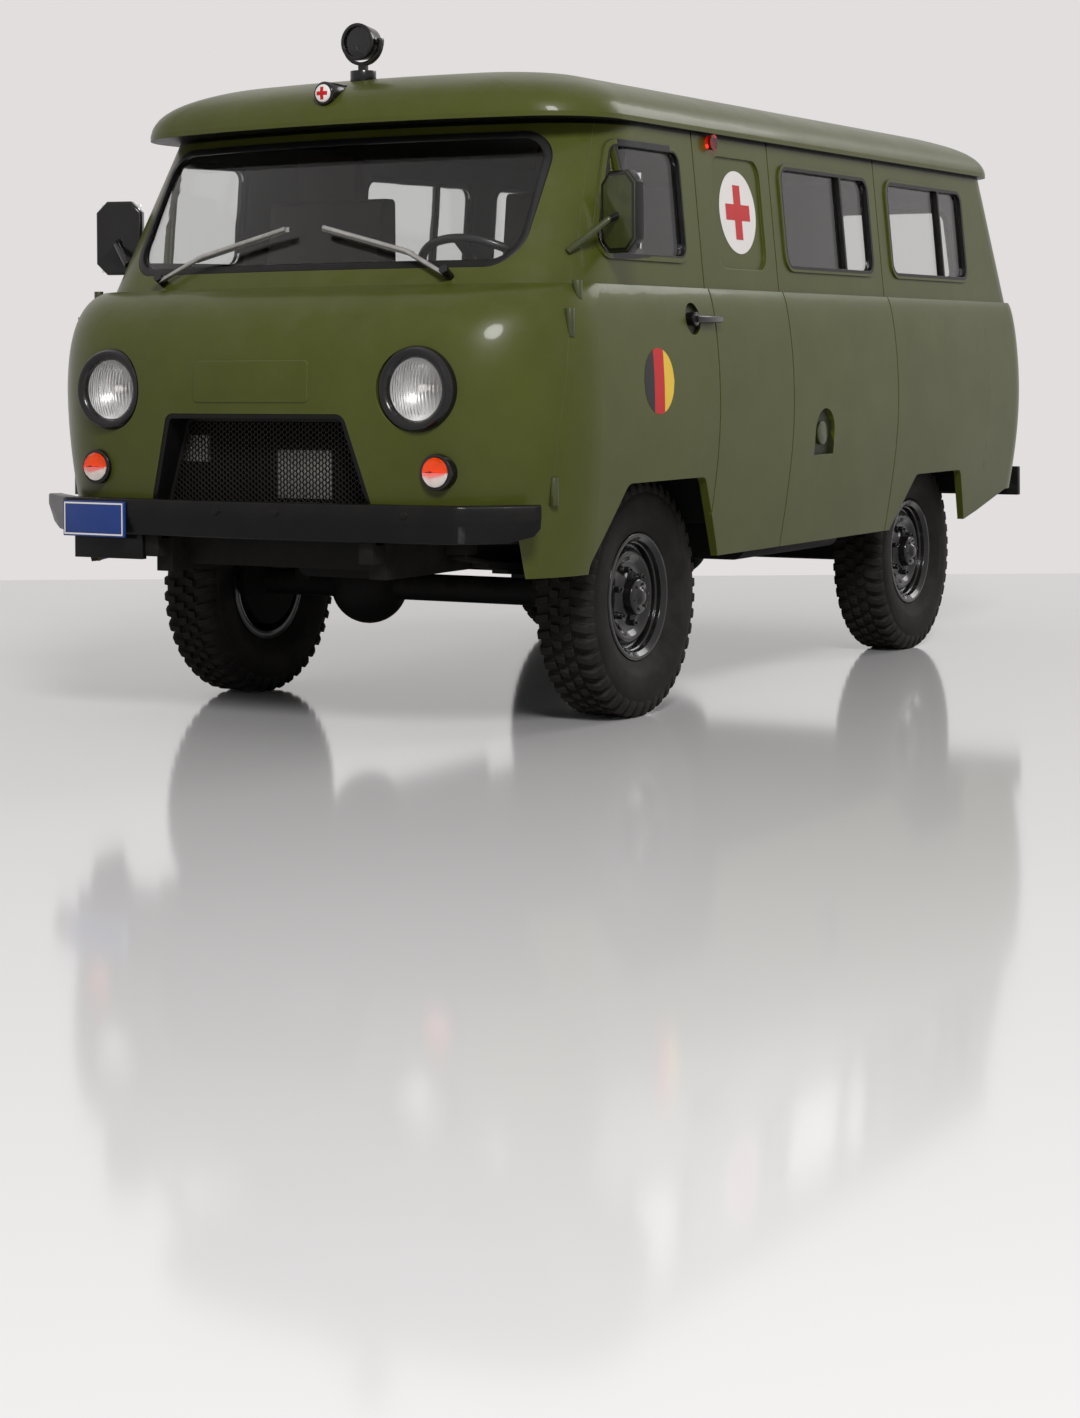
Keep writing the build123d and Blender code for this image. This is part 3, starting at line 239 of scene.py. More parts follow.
finishBase = {
    "rough": 0.42, "coat": 0, "gloss": 0.3, "fine": 2800, "clouds": 200, "bump": 0.03, "dust": 0, "edgeWearLight": 0,
    "edgeWearLightWidth": 0.00014, "edgeWearLightColour": (70, 70, 70), "metal": 0,
}
finishes = {
    "bodyGreen": {"colour": (72, 79, 26), "cloud": (62, 65, 20), "rough": 0.34, "coat": 0.13, "gloss": 0.16,
                  "fine": 2400, "clouds": 90, "bump": 0.05, "dust": 0.05, "edgeWearLight": 0.35, "edgeWearLightColour": (134, 138, 98)},
    # painted shade: the dark inside of the door handle's hollow and of the fuel filler's pocket
    "pocketShadeGreen": {"colour": (44, 48, 20), "cloud": (20, 22, 10), "rough": 0.5, "clouds": 900},
    "trimGreen": {"colour": (64, 72, 28), "cloud": (34, 38, 16), "rough": 0.38, "coat": 0.3, "clouds": 500,
                  "bump": 0.08, "dust": 0.04, "edgeWearLight": 0.5, "edgeWearLightColour": (26, 26, 18)},
    "bumperBlack": {"colour": (20, 19, 19), "cloud": (13, 12, 12), "rough": 0.34, "coat": 0.16, "gloss": 0.08,
                    "clouds": 160, "bump": 0.04, "dust": 0.02, "edgeWearLight": 0.25, "edgeWearLightColour": (64, 62, 60)},
    "meshBlack": {"colour": (38, 35, 33), "cloud": (24, 22, 21), "rough": 0.45, "gloss": 0.2},
    "underBlack": {"colour": (24, 22, 21), "cloud": (14, 13, 13), "rough": 0.62, "gloss": 0.12, "fine": 1600,
                   "clouds": 220, "bump": 0.2, "dust": 0.08, "edgeWearLight": 0.2, "edgeWearLightColour": (58, 56, 54)},
    "sealRubber": {"colour": (19, 18, 18), "cloud": (12, 12, 12), "rough": 0.4, "gloss": 0.2, "fine": 3000,
                   "clouds": 300, "bump": 0.08, "dust": 0.02, "edgeWearLight": 0.1},
    "lampBlack": {"colour": (16, 15, 15), "cloud": (11, 10, 10), "rough": 0.24, "coat": 0.4, "gloss": 0.2,
                  "bump": 0.02, "dust": 0.02, "edgeWearLight": 0.2, "edgeWearLightColour": (76, 74, 72)},
    "wheelGloss": {"colour": (17, 16, 16), "cloud": (11, 10, 10), "rough": 0.24, "coat": 0.5, "gloss": 0.2,
                   "fine": 2600, "clouds": 260, "bump": 0.05, "dust": 0.02, "edgeWearLight": 0.3, "edgeWearLightColour": (70, 68, 66)},
    "tyreRubber": {"colour": (36, 33, 32), "cloud": (25, 23, 22), "rough": 0.6, "gloss": 0.08, "fine": 3400,
                   "clouds": 240, "bump": 0.18, "dust": 0.08, "edgeWearLight": 0.3, "edgeWearLightColour": (74, 71, 69)},
    "wiperSilver": {"colour": (196, 194, 190), "cloud": (120, 118, 114), "rough": 0.36, "fine": 2600, "clouds": 700,
                    "bump": 0.15, "metal": 0.6},
    "brightMetal": {"colour": (225, 222, 216), "cloud": (176, 172, 164), "rough": 0.4, "clouds": 900, "bump": 0.1},
    "lampSilver": {"colour": (206, 205, 204), "cloud": (176, 175, 175), "rough": 0.3, "clouds": 500, "metal": 0.5},
    "discWhite": {"colour": (226, 222, 219), "cloud": (214, 209, 205)},
    "crossRed": {"colour": (192, 20, 26), "cloud": (172, 14, 20)},
    "bandBlack": {"colour": (20, 18, 18), "cloud": (14, 13, 13)},
    "bandYellow": {"colour": (226, 190, 60), "cloud": (212, 172, 44)},
    "plateBlue": {"colour": (34, 62, 128), "cloud": (26, 50, 112), "rough": 0.35},
    "cabinGrey": {"colour": (76, 70, 68), "cloud": (58, 53, 52), "rough": 0.6, "gloss": 0.2, "fine": 1800,
                  "clouds": 60, "bump": 0.1},
    "seatBrown": {"colour": (58, 49, 43), "cloud": (42, 35, 31), "rough": 0.55, "gloss": 0.2, "fine": 1500,
                  "clouds": 160, "bump": 0.3},
}
gutterShadeBlack = srgb(10, 11, 8)
mirrorColour, mirrorRough = srgb(228, 232, 232), 0.06
dustColour, dustRough = srgb(150, 146, 134), 0.9
bumpDistance, roughSpread, coatRough = 0.00004, 0.16, 0.07
gutterShadeHeights = (1877, 1889.5)  # painted shade between these heights


def finish(name):
    if name in bpy.data.materials:
        return bpy.data.materials[name]
    look = {**finishBase, **finishes[name]}
    material, tree, shader = newMaterial(name)
    grainNode = addNode(tree, "ShaderNodeGroup", [("Fine Scale", look["fine"]), ("Cloud Scale", look["clouds"])],
                        node_tree=grain)
    colour = mixed(tree, grainNode.outputs["Cloud"], srgb(*look["colour"]), srgb(*look["cloud"]))
    bump = addNode(tree, "ShaderNodeBump", [("Height", grainNode.outputs["Height"]), ("Strength", look["bump"]),
                                            ("Distance", bumpDistance)])
    # edges mixed toward the edge colour: a painted highlight on most finishes, worn paint on the green trim
    if look["edgeWearLight"]:
        edge = addNode(tree, "ShaderNodeGroup", [("Width", look["edgeWearLightWidth"]), ("Amount", look["edgeWearLight"])],
                       node_tree=edgeWearAndHighlightTree)
        colour = mixed(tree, edge.outputs["Mask"], colour, srgb(*look["edgeWearLightColour"]))
        tree.links.new(edge.outputs["Normal"], bump.inputs["Normal"])
    rough = calc(tree, "MULTIPLY_ADD", grainNode.outputs["Cloud"], roughSpread)
    rough.node.inputs[2].default_value = look["rough"] - roughSpread / 2
    if look["dust"]:
        veil = addNode(tree, "ShaderNodeGroup", [("Amount", look["dust"])], node_tree=dust).outputs["Mask"]
        colour = mixed(tree, veil, colour, dustColour)
        rough = calc(tree, "ADD", rough, calc(tree, "MULTIPLY", veil, dustRough), clamp=True)
    tree.links.new(colour, shader.inputs["Base Color"])
    tree.links.new(rough, shader.inputs["Roughness"])
    tree.links.new(bump.outputs[0], shader.inputs["Normal"])
    setInputs(shader, Specular_IOR_Level=look["gloss"], Coat_Weight=look["coat"], Coat_Roughness=coatRough,
              Metallic=look["metal"])
    return material


glasses = {
    "clearGlazing": {"colour": (232, 234, 233), "rough": 0.02, "ior": 1.33},
    "ribbedLens": {"colour": (240, 240, 240), "rough": 0.12, "ior": 1.35},
    "amberLens": {"colour": (255, 92, 24), "rough": 0.1, "ior": 1.35},
    "redLens": {"colour": (232, 40, 26), "rough": 0.1, "ior": 1.35},
    "darkLens": {"colour": (150, 152, 156), "rough": 0.05, "ior": 1.45},
}


def cloudyRough(tree, shader, factor):
    cloud = addNode(tree, "ShaderNodeGroup", node_tree=grain).outputs["Cloud"]
    tree.links.new(calc(tree, "MULTIPLY", cloud, factor), shader.inputs["Roughness"])


# clear plastic that lets the lamps through, so that what is behind it is lit
def glass(name):
    if name in bpy.data.materials:
        return bpy.data.materials[name]
    look = glasses[name]
    material, tree, shader = newMaterial(name)
    colour = srgb(*look["colour"])
    setInputs(shader, Base_Color=colour, IOR=look["ior"], Transmission_Weight=1.0)
    cloudyRough(tree, shader, 2 * look["rough"])
    ray = addNode(tree, "ShaderNodeLightPath").outputs["Is Shadow Ray"]
    clear = addNode(tree, "ShaderNodeBsdfTransparent", [("Color", colour)])
    mix = addNode(tree, "ShaderNodeMixShader", [("Fac", ray), (1, shader.outputs[0]), (2, clear.outputs[0])])
    tree.links.new(mix.outputs[0], tree.nodes["Material Output"].inputs["Surface"])
    return material


def lookNamed(name):
    return glass(name) if name in glasses else finish(name)


def mirrorFinish():
    material, tree, shader = newMaterial("mirrorGlass")
    setInputs(shader, Base_Color=mirrorColour, Metallic=1.0)
    cloudyRough(tree, shader, mirrorRough)
    return material


# painted shade: a black line along the top of the walls, under the roof's gutter
def gutterShade(material):
    tree = material.node_tree
    shader = tree.nodes["Principled BSDF"]
    link = shader.inputs["Base Color"].links[0]
    high = addNode(tree, "ShaderNodeSeparateXYZ", [(0, addNode(tree, "ShaderNodeTexCoord").outputs["Object"])])
    band = calc(tree, "GREATER_THAN", high.outputs["Z"], gutterShadeHeights[0] * mm)
    under = calc(tree, "LESS_THAN", high.outputs["Z"], gutterShadeHeights[1] * mm)
    colour = mixed(tree, calc(tree, "MULTIPLY", band, under), link.from_socket, gutterShadeBlack)
    tree.links.new(colour, shader.inputs["Base Color"])


gutterShade(finish("bodyGreen"))
print("materials ready")


def meshOf(work, name, *materials):
    mesh = bpy.data.meshes.new(name)
    work.to_mesh(mesh)
    work.free()
    for material in materials:
        mesh.materials.append(material)
    return mesh


def newPiece(name, mesh, body, slotName, *nodes):
    piece = placed(name, mesh)
    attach(piece, body)
    if nodes:
        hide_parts(*nodes)


def smooth(mesh, degrees=32):
    mesh.shade_smooth()
    mesh.set_sharp_from_angle(angle=math.radians(degrees))


flatAngle = math.radians(0.4)  # faces nearer than this are joined before a bevel


# the evaluated mesh of an object with modifiers, which is then removed
def plainMesh(source):
    mesh = bpy.data.meshes.new_from_object(source.evaluated_get(depsgraph()))
    old = source.data
    bpy.data.objects.remove(source)
    bpy.data.meshes.remove(old)
    return mesh


# edges sharper than the angle rounded, to a width in millimetres
def bevelled(mesh, width, segments=2, degrees=35):
    holder = placed("bevelHolder", mesh)
    bevel = holder.modifiers.new("edges", "BEVEL")
    bevel.width, bevel.segments = width * mm, segments
    bevel.limit_method, bevel.angle_limit = "ANGLE", math.radians(degrees)
    return plainMesh(holder)


# the merged copy of a CAD node, which keeps the CAD's own normals in a layer
def mergedMesh(node, flatten, materials):
    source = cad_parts[node].data
    normals = source.corner_normals
    work = bmesh.new()
    work.from_mesh(source)
    work.faces.ensure_lookup_table()
    kept = work.loops.layers.float_vector.new("cadNormal")
    for polygon, face in zip(source.polygons, work.faces):
        for number, corner in zip(polygon.loop_indices, face.loops):
            corner[kept] = normals[number].vector
    bmesh.ops.remove_doubles(work, verts=work.verts, dist=2e-7)
    if flatten:
        bmesh.ops.dissolve_limit(work, angle_limit=flatAngle, verts=work.verts, edges=work.edges)
    return meshOf(work, node + "Copy", *materials)


# a CAD node's own shape; choose gives the number of a face's material
def copyNode(node, slotName, materials, bevel, choose=None):
    mesh = mergedMesh(node, bevel > 0, materials)
    if choose:
        for face in mesh.polygons:
            face.material_index = choose(face.center / mm, face.normal)
    if bevel:
        mesh = bevelled(mesh, bevel)
        smooth(mesh)
    else:
        mesh.shade_smooth()
        mesh.normals_split_custom_set([tuple(item.vector) for item in mesh.attributes["cadNormal"].data])
    mesh.attributes.remove(mesh.attributes["cadNormal"])
    mesh.name = node + "Soft"
    newPiece(node + "_soft", mesh, "chassis", slotName, node)


# walls between rings of points in millimetres, where a ring of one point is a tip
def loft(rings, ends=True, closed=False):
    work = bmesh.new()
    rings = [[work.verts.new(at(*point)) for point in ring] for ring in rings]
    count = max(len(ring) for ring in rings)
    for first, second in zip(rings, rings[1:] + (rings[:1] if closed else [])):
        for i in range(count):
            j = (i + 1) % count
            corners = dict.fromkeys([first[i % len(first)], first[j % len(first)], second[j % len(second)],
                                     second[i % len(second)]])
            if len(corners) > 2:
                work.faces.new(list(corners))
    if ends:
        work.faces.new(rings[0])
        work.faces.new(rings[-1])
    bmesh.ops.recalc_face_normals(work, faces=work.faces)
    return work


# turned about Y from (y, radius) points
def lathe(profile, segments, closed=False):
    turns = [2 * math.pi * i / segments for i in range(segments)]
    return loft([[(radius * math.sin(turn), y, radius * math.cos(turn)) for turn in turns] if radius else [(0, y, 0)]
                 for y, radius in profile], False, closed)


# the copies made real and given their material, because the export drops instances
def closeTree(tree, given, out, copies):
    real = addNode(tree, "GeometryNodeRealizeInstances", [(0, copies.outputs[0])])
    made = addNode(tree, "GeometryNodeSetMaterial", [("Geometry", real.outputs[0]), ("Material", given["Material"])])
    tree.links.new(made.outputs[0], out["Geometry"])
    return tree


def aroundAxleTree():
    tree, given, out = newTree("GeometryNodeTree", "aroundAxle", [
        ("Geometry", "Geometry", None), ("Count", "Int", 6), ("Turn", "Float", 0.0),
        ("Material", "Material", None),
    ], [("Geometry", "Geometry")])
    points = addNode(tree, "GeometryNodePoints", [("Count", given["Count"])])
    number = addNode(tree, "GeometryNodeInputIndex").outputs[0]
    step = calc(tree, "DIVIDE", 2 * math.pi, given["Count"])
    angle = calc(tree, "ADD", calc(tree, "MULTIPLY", number, step), given["Turn"])
    turn = addNode(tree, "ShaderNodeCombineXYZ", [("Y", angle)])
    copies = addNode(tree, "GeometryNodeInstanceOnPoints",
                     [("Points", points.outputs[0]), ("Instance", given["Geometry"]), ("Rotation", turn.outputs[0])])
    return closeTree(tree, given, out, copies)


def inRowsTree():
    tree, given, out = newTree("GeometryNodeTree", "inRows", [
        ("Geometry", "Geometry", None), ("Columns", "Int", 4), ("Rows", "Int", 1),
        ("Column Step", "Vector", (0, 1, 0)), ("Row Step", "Vector", (0, 0, 1)),
        ("Odd Row Shift", "Vector", (0, 0, 0)), ("Start", "Vector", (0, 0, 0)),
        ("Half Width", "Float", 10.0), ("Narrowing", "Float", 0.0),
        ("Material", "Material", None),
    ], [("Geometry", "Geometry")])
    count = calc(tree, "MULTIPLY", given["Columns"], given["Rows"])
    number = addNode(tree, "GeometryNodeInputIndex").outputs[0]
    row = calc(tree, "FLOOR", calc(tree, "DIVIDE", calc(tree, "ADD", number, 0.5), given["Columns"]))
    column = calc(tree, "SUBTRACT", number, calc(tree, "MULTIPLY", row, given["Columns"]))
    odd = calc(tree, "MODULO", row, 2.0)

    def scaled(vector, factor):
        node = addNode(tree, "ShaderNodeVectorMath", [(0, vector)], operation="SCALE")
        tree.links.new(factor, node.inputs["Scale"])
        return node.outputs[0]

    def summed(first, second):
        return addNode(tree, "ShaderNodeVectorMath", [(0, first), (1, second)], operation="ADD").outputs[0]

    place = summed(summed(scaled(given["Column Step"], column), scaled(given["Row Step"], row)),
                   summed(scaled(given["Odd Row Shift"], odd), given["Start"]))
    points = addNode(tree, "GeometryNodePoints", [("Count", count), ("Position", place)])
    spot = addNode(tree, "ShaderNodeSeparateXYZ", [(0, addNode(tree, "GeometryNodeInputPosition").outputs[0])])
    limit = calc(tree, "SUBTRACT", given["Half Width"], calc(tree, "MULTIPLY", spot.outputs["Z"], given["Narrowing"]))
    outside = calc(tree, "GREATER_THAN", calc(tree, "ABSOLUTE", spot.outputs["Y"]), limit)
    kept = addNode(tree, "GeometryNodeDeleteGeometry", [("Geometry", points.outputs[0]), ("Selection", outside)])
    copies = addNode(tree, "GeometryNodeInstanceOnPoints",
                     [("Points", kept.outputs[0]), ("Instance", given["Geometry"])])
    return closeTree(tree, given, out, copies)


aroundAxle, inRows = aroundAxleTree(), inRowsTree()


# repeated by a Geometry Nodes tree, as a plain mesh
def repeated(work, tree, sizes):
    holder = placed("repeatHolder", meshOf(work, "repeatedPart"))
    modifier = holder.modifiers.new("repeat", "NODES")
    modifier.node_group = tree
    for item in tree.interface.items_tree:
        if item.in_out == "INPUT" and item.name in sizes:
            modifier[item.identifier] = sizes[item.name]
    return plainMesh(holder)


# between two planes across X or Y, its outline given in the other two axes
def prism(points, low, high, axis="Y"):
    return loft([[(level, a, b) if axis == "X" else (a, level, b) for a, b in points] for level in (low, high)])


def polygonAt(sides, radius, across, up):
    return [(radius * math.cos(2 * math.pi * i / sides) + across, radius * math.sin(2 * math.pi * i / sides) + up)
            for i in range(sides)]


# several meshes as one, with their materials kept apart
def joined(meshes):
    work = bmesh.new()
    materials = []
    for mesh in meshes:
        start = len(work.faces)
        work.from_mesh(mesh)
        work.faces.ensure_lookup_table()
        for face in work.faces[start:]:
            material = mesh.materials[face.material_index] if len(mesh.materials) else None
            if material not in materials:
                materials.append(material)
            face.material_index = materials.index(material)
    return meshOf(work, "joinedPart", *materials)


tyreShape = {
    "segments": 176, "lugs": 44, "lugWide": 30, "lugTop": 22, "tread": 368, "top": 385, "skewMiddle": 50,
    "bevel": (1.2, 1, 50), "sharp": 40,
    "lugRows": [  # outline, skew, and turn as a share of the pitch
        ([(42, 360), (42, 384), (78, 385), (88, 378), (97, 356), (99, 338), (94, 336), (86, 352)], 9, 0.25),
        ([(6, 360), (6, 384), (34, 384), (34, 360)], -9, 0.75)],
    "halfProfile": [  # from the bead out to the middle of the tread
        (70, 190), (70, 204), (78, 212), (82, 228), (90, 236), (93, 246), (98, 252), (100, 262), (104, 282),
        (105, 300), (104, 318), (101, 330), (98, 334), (97, 346), (92, 356), (84, 363), (60, 367), (30, 368),
        (0, 368)],
}
rimShape = {
    "segments": 96, "studs": 6, "bevel": (1.2, 2, 30),
    "bolts": [  # sides, radius, inner and outer end, then the circle they stand on and its turn
        (6, 11, 30, 56, 88, 0.2), (8, 4.5, 50, 66, 88, 0.2), (6, 5, 80, 90, 42, 0.7)],
    "profile": [(60, 0), (98, 0), (97, 14), (94, 22), (88, 27), (84, 34), (84, 50), (80, 57), (74, 59), (50, 60),
                (43, 66), (36, 84), (34, 96), (34, 108), (38, 116), (48, 128), (51, 137), (49, 146), (42, 152),
                (28, 157), (25, 162), (28, 168), (48, 171), (50, 176), (66, 178), (70, 184), (78, 192), (79, 200),
                (77, 205), (70, 205), (70, 190), (40, 186), (-40, 186), (-70, 190), (-70, 205), (-78, 205),
                (-78, 176), (-20, 168), (6, 164), (24, 150), (30, 136), (14, 112), (10, 62), (-10, 55), (-10, 20),
                (60, 20)],
}


# one lug from a (y, radius) outline, narrower at its top
def lugMesh(profile, skew):
    shape = tyreShape
    rings = []
    for side in (-1, 1):
        ring = []
        for y, radius in profile:
            share = min(max((radius - shape["tread"]) / (shape["top"] - shape["tread"]), 0), 1)
            half = (shape["lugWide"] + (shape["lugTop"] - shape["lugWide"]) * share) / 2
            lean = skew * (abs(y) - shape["skewMiddle"]) / shape["skewMiddle"]
            ring.append((side * half + lean, y, radius))
        rings.append(ring)
    return loft(rings)


def wheelMeshes():
    shape = tyreShape
    half = shape["halfProfile"]
    profile = [(-y, radius) for y, radius in half] + half[-2::-1]
    carcass = meshOf(lathe(profile, shape["segments"], closed=True), "carcass", finish("tyreRubber"))
    smooth(carcass, shape["sharp"])
    parts = [carcass]
    pitch = 2 * math.pi / shape["lugs"]
    for side, shift in ((1, 0), (-1, -0.5)):  # the two sides are half a lug's pitch apart
        for outline, skew, turn in shape["lugRows"]:
            lug = lugMesh([(side * y, radius) for y, radius in outline], skew)
            parts.append(repeated(lug, aroundAxle, {"Count": shape["lugs"], "Turn": pitch * (turn + shift),
                                                    "Material": finish("tyreRubber")}))
    tyre = bevelled(joined(parts), *shape["bevel"])
    shape = rimShape
    parts = [meshOf(lathe(shape["profile"], shape["segments"]), "disc", finish("wheelGloss"))]
    for sides, radius, low, high, circle, turn in shape["bolts"]:
        parts.append(repeated(prism(polygonAt(sides, radius, 0, circle), low, high), aroundAxle,
                              {"Count": shape["studs"], "Turn": turn, "Material": finish("wheelGloss")}))
    return tyre, bevelled(joined(parts), *shape["bevel"])


tyreMesh, rimMesh = wheelMeshes()
for end, axleX in axles.items():
    for sideName, side in bodySides:
        wheel = end + "_" + sideName
        spin = Matrix.Translation(at(axleX, side * wheelAside, wheelHigh))
        if side < 0:
            spin = spin @ Matrix.Rotation(math.pi, 4, "Z")
        for kind, source, slotName in (("tyre", tyreMesh, "tyre_rubber"), ("rim", rimMesh, "wheel_black")):
            mesh = source.copy()
            mesh.transform(spin)
            smooth(mesh, wheelSharp)
            newPiece(kind + "_shaped_" + wheel, mesh, "wheel_" + wheel, slotName, kind + "_" + wheel)
print("wheels ready")


shadedHollows = [  # middle, half sizes, how far out the faces with painted shade reach, and 2 for round or more for square
    ((1045, 1273), (53, 53), 943, 2),  # door handle
    ((35, 888), (84, 84), 951, 12),  # fuel filler
]
bodyZones = {
    "gutter": (1885, 1892), "nose": 2000, "screen": 1500, "rear": -1700, "wall": 700, "cabHalf": 880, "hollow": 860,
    "facing": {"gutter": -0.6, "nose": -0.35, "wall": 0.5, "rear": 0.5, "screen": -0.4, "ceiling": -0.3},
}


# 0 outside paint, 1 cabin lining, 2 black as painted shade under the gutter, 3 painted shade in the hollows
def bodyFace(centre, normal):
    zones, facing = bodyZones, bodyZones["facing"]
    # painted shade: faces that look down at the gutter's height are black
    low, high = zones["gutter"]
    if low < centre.z < high and normal.z < facing["gutter"]:
        return 2
    inCab = abs(centre.y) < zones["cabHalf"]
    if (centre.x > zones["nose"] and normal.x < facing["nose"] and inCab
            or abs(centre.y) > zones["wall"] and abs(normal.y) > facing["wall"] and normal.y * centre.y < 0
            or centre.x < zones["rear"] and normal.x > facing["rear"]
            or centre.x > zones["screen"] and normal.x < facing["screen"] and inCab
            or centre.z > high and normal.z < facing["ceiling"]):
        return 1
    # painted shade in the door handle's hollow and the filler pocket
    for (x, z), (wide, tall), depth, power in shadedHollows:
        spread = (abs(centre.x - x) / wide) ** power + (abs(centre.z - z) / tall) ** power
        if spread < 1 and zones["hollow"] < abs(centre.y) < depth:
            return 3
    return 0


bodyMaterials = [finish("bodyGreen"), finish("cabinGrey"), finish("sealRubber"), finish("pocketShadeGreen")]
for node in ("nose_panel", "side_panel_left", "side_panel_right", "rear_panel", "roof"):
    copyNode(node, "green_paint", bodyMaterials, bevel=0, choose=bodyFace)
print("body ready")


plainCopies = {  # slot and look, then how wide each node's edges are rounded
    ("black_rubber", "sealRubber"): {"windscreen_seal": 2},
    ("green_paint", "lampBlack"): {"indicator_bases": 3},
    ("green_paint", "trimGreen"): {"door_hinges": 2.5, "filler_cap": 3},
    ("black_paint", "bumperBlack"): {"grille_surround": 2, "rear_bumper": 3},
    ("black_plastic", "lampBlack"): {"cross_lamp": 1.5, "searchlight": 1.5, "mirror_right": 2.5,
                                     "door_handles": 2.5, "steering_wheel": 1.5},
    ("underbody_black", "underBlack"): {
        "radiator": 3, "chassis_frame": 3, "floor_pan": 3, "front_axle": 2, "rear_axle": 2,
        "leaf_springs": 1.5, "engine_block": 4, "drive_shafts": 1.5, "exhaust": 2, "fuel_tank": 4},
    ("seat_vinyl", "seatBrown"): {"front_seats": 5, "load_benches": 4},
    ("interior_grey", "cabinGrey"): {"dashboard": 4, "engine_cover": 5},
    ("wiper_metal", "brightMetal"): {"bright_plates": 1.5},
    ("white_glass", "discWhite"): {"cross_lamp_lens": 1},
    ("plate_blue", "plateBlue"): {"number_plate": 1.5},
    ("clear_glazing", "clearGlazing"): {"windscreen": 0, "window_panes": 0},
    ("amber_glass", "amberLens"): {"indicator_ambers": 0},
    ("lamp_glass", "ribbedLens"): {"indicator_clears": 0},
    ("lamp_glass", "darkLens"): {"searchlight_lens": 0},
    ("red_glass", "redLens"): {"side_lamps": 0, "tail_lamps": 0},
}
for (slotName, look), nodes in plainCopies.items():
    for node, width in nodes.items():
        copyNode(node, slotName, [lookNamed(look)], bevel=width)

leftMirror = {
    "middle": (1563, 966, 1592), "reach": (50, 88, 130), "toe": 20, "half": (80, 125), "chamfer": 38,
    "rimInsets": (1.5, 8, 15), "above": 26, "backFacing": 0.85,
}


# the back of the left mirror and its arm are green, its sides are black
def mirrorFace(centre, normal):
    inHead = all(abs(centre[i] - leftMirror["middle"][i]) < leftMirror["reach"][i] for i in range(3))
    return 1 if inHead and normal.x < leftMirror["backFacing"] else 0


sideWindows = {
    "corner": 62, "margin": 30, "sideFacing": 0.6, "trim": {"door": (1.0, 8.5, 16.0), "load": (1.0, 5.5, 10.0)},
    "outlines": [
        ("door", [(985, 1452), (1620, 1452), (1431, 1830), (985, 1830)]),
        ("load", [(-561, 1447), (237, 1447), (237, 1826), (-561, 1826)]),
        ("load", [(-1526, 1447), (-722, 1447), (-722, 1826), (-1526, 1826)]),
    ],
}


# the outer edge of a side window's seal is painted with the body
def sealFace(centre, normal):
    if abs(centre.y) < bodyZones["wall"] or abs(normal.y) > sideWindows["sideFacing"]:
        return 0
    for _, outline in sideWindows["outlines"]:
        across, up = zip(*outline)
        if min(across) - sideWindows["margin"] < centre.x < max(across) + sideWindows["margin"]:
            x, z = sum(across) / len(outline), sum(up) / len(outline)
            return 1 if (centre.x - x) * normal.x + (centre.z - z) * normal.z > 0 else 0
    return 0


copyNode("mirror_left", "green_paint", [finish("trimGreen"), finish("lampBlack")], bevel=2.5, choose=mirrorFace)
copyNode("window_seals", "black_rubber", [finish("sealRubber"), finish("bodyGreen")], bevel=0, choose=sealFace)
copyNode("mirror_glasses", "mirror_glass", [mirrorFinish()], bevel=1)
wiperFoot = 1425  # the arms are black below this height
copyNode("wiper_arms", "wiper_metal", [finish("wiperSilver"), finish("lampBlack")], bevel=0,
         choose=lambda centre, normal: 1 if centre.z < wiperFoot else 0)
print("trim ready")


# a left and a right one, turned about a line that looks forward, from (x, radius) points
def turnedPair(profile, segments, y, z, look, closed=False):
    meshes = []
    for _, side in bodySides:
        mesh = meshOf(lathe(profile, segments, closed), "turnedPart", lookNamed(look))
        mesh.transform(Matrix.Translation(at(0, side * y, z)) @ Matrix.Rotation(-math.pi / 2, 4, "Z"))
        meshes.append(mesh)
    return meshes


headlight = {
    "aside": 570, "height": 1060, "segments": 96, "bulbSegments": 24,
    "bezel": [(2052, 112), (2052, 128), (2108, 128), (2118, 125.5), (2126, 119), (2128, 110), (2125, 101),
              (2117, 94.5), (2106, 92.5), (2098, 97), (2080, 104)],
    "bowl": [(2022, 0), (2023, 12), (2030, 30), (2048, 56), (2070, 77), (2100, 95), (2098, 99), (2064, 84),
             (2038, 60), (2018, 30), (2012, 0)],
    "bulb": [(2016, 0), (2016, 13), (2058, 13), (2066, 9), (2070, 0)],
    "lensRadius": 94, "lensRim": 2105, "lensBulge": 26, "lensThick": 5, "fluteDeep": 2.4, "flutePitch": 11,
    "rimFade": 4, "columns": 140, "rows": 16, "sharp": 34,
}


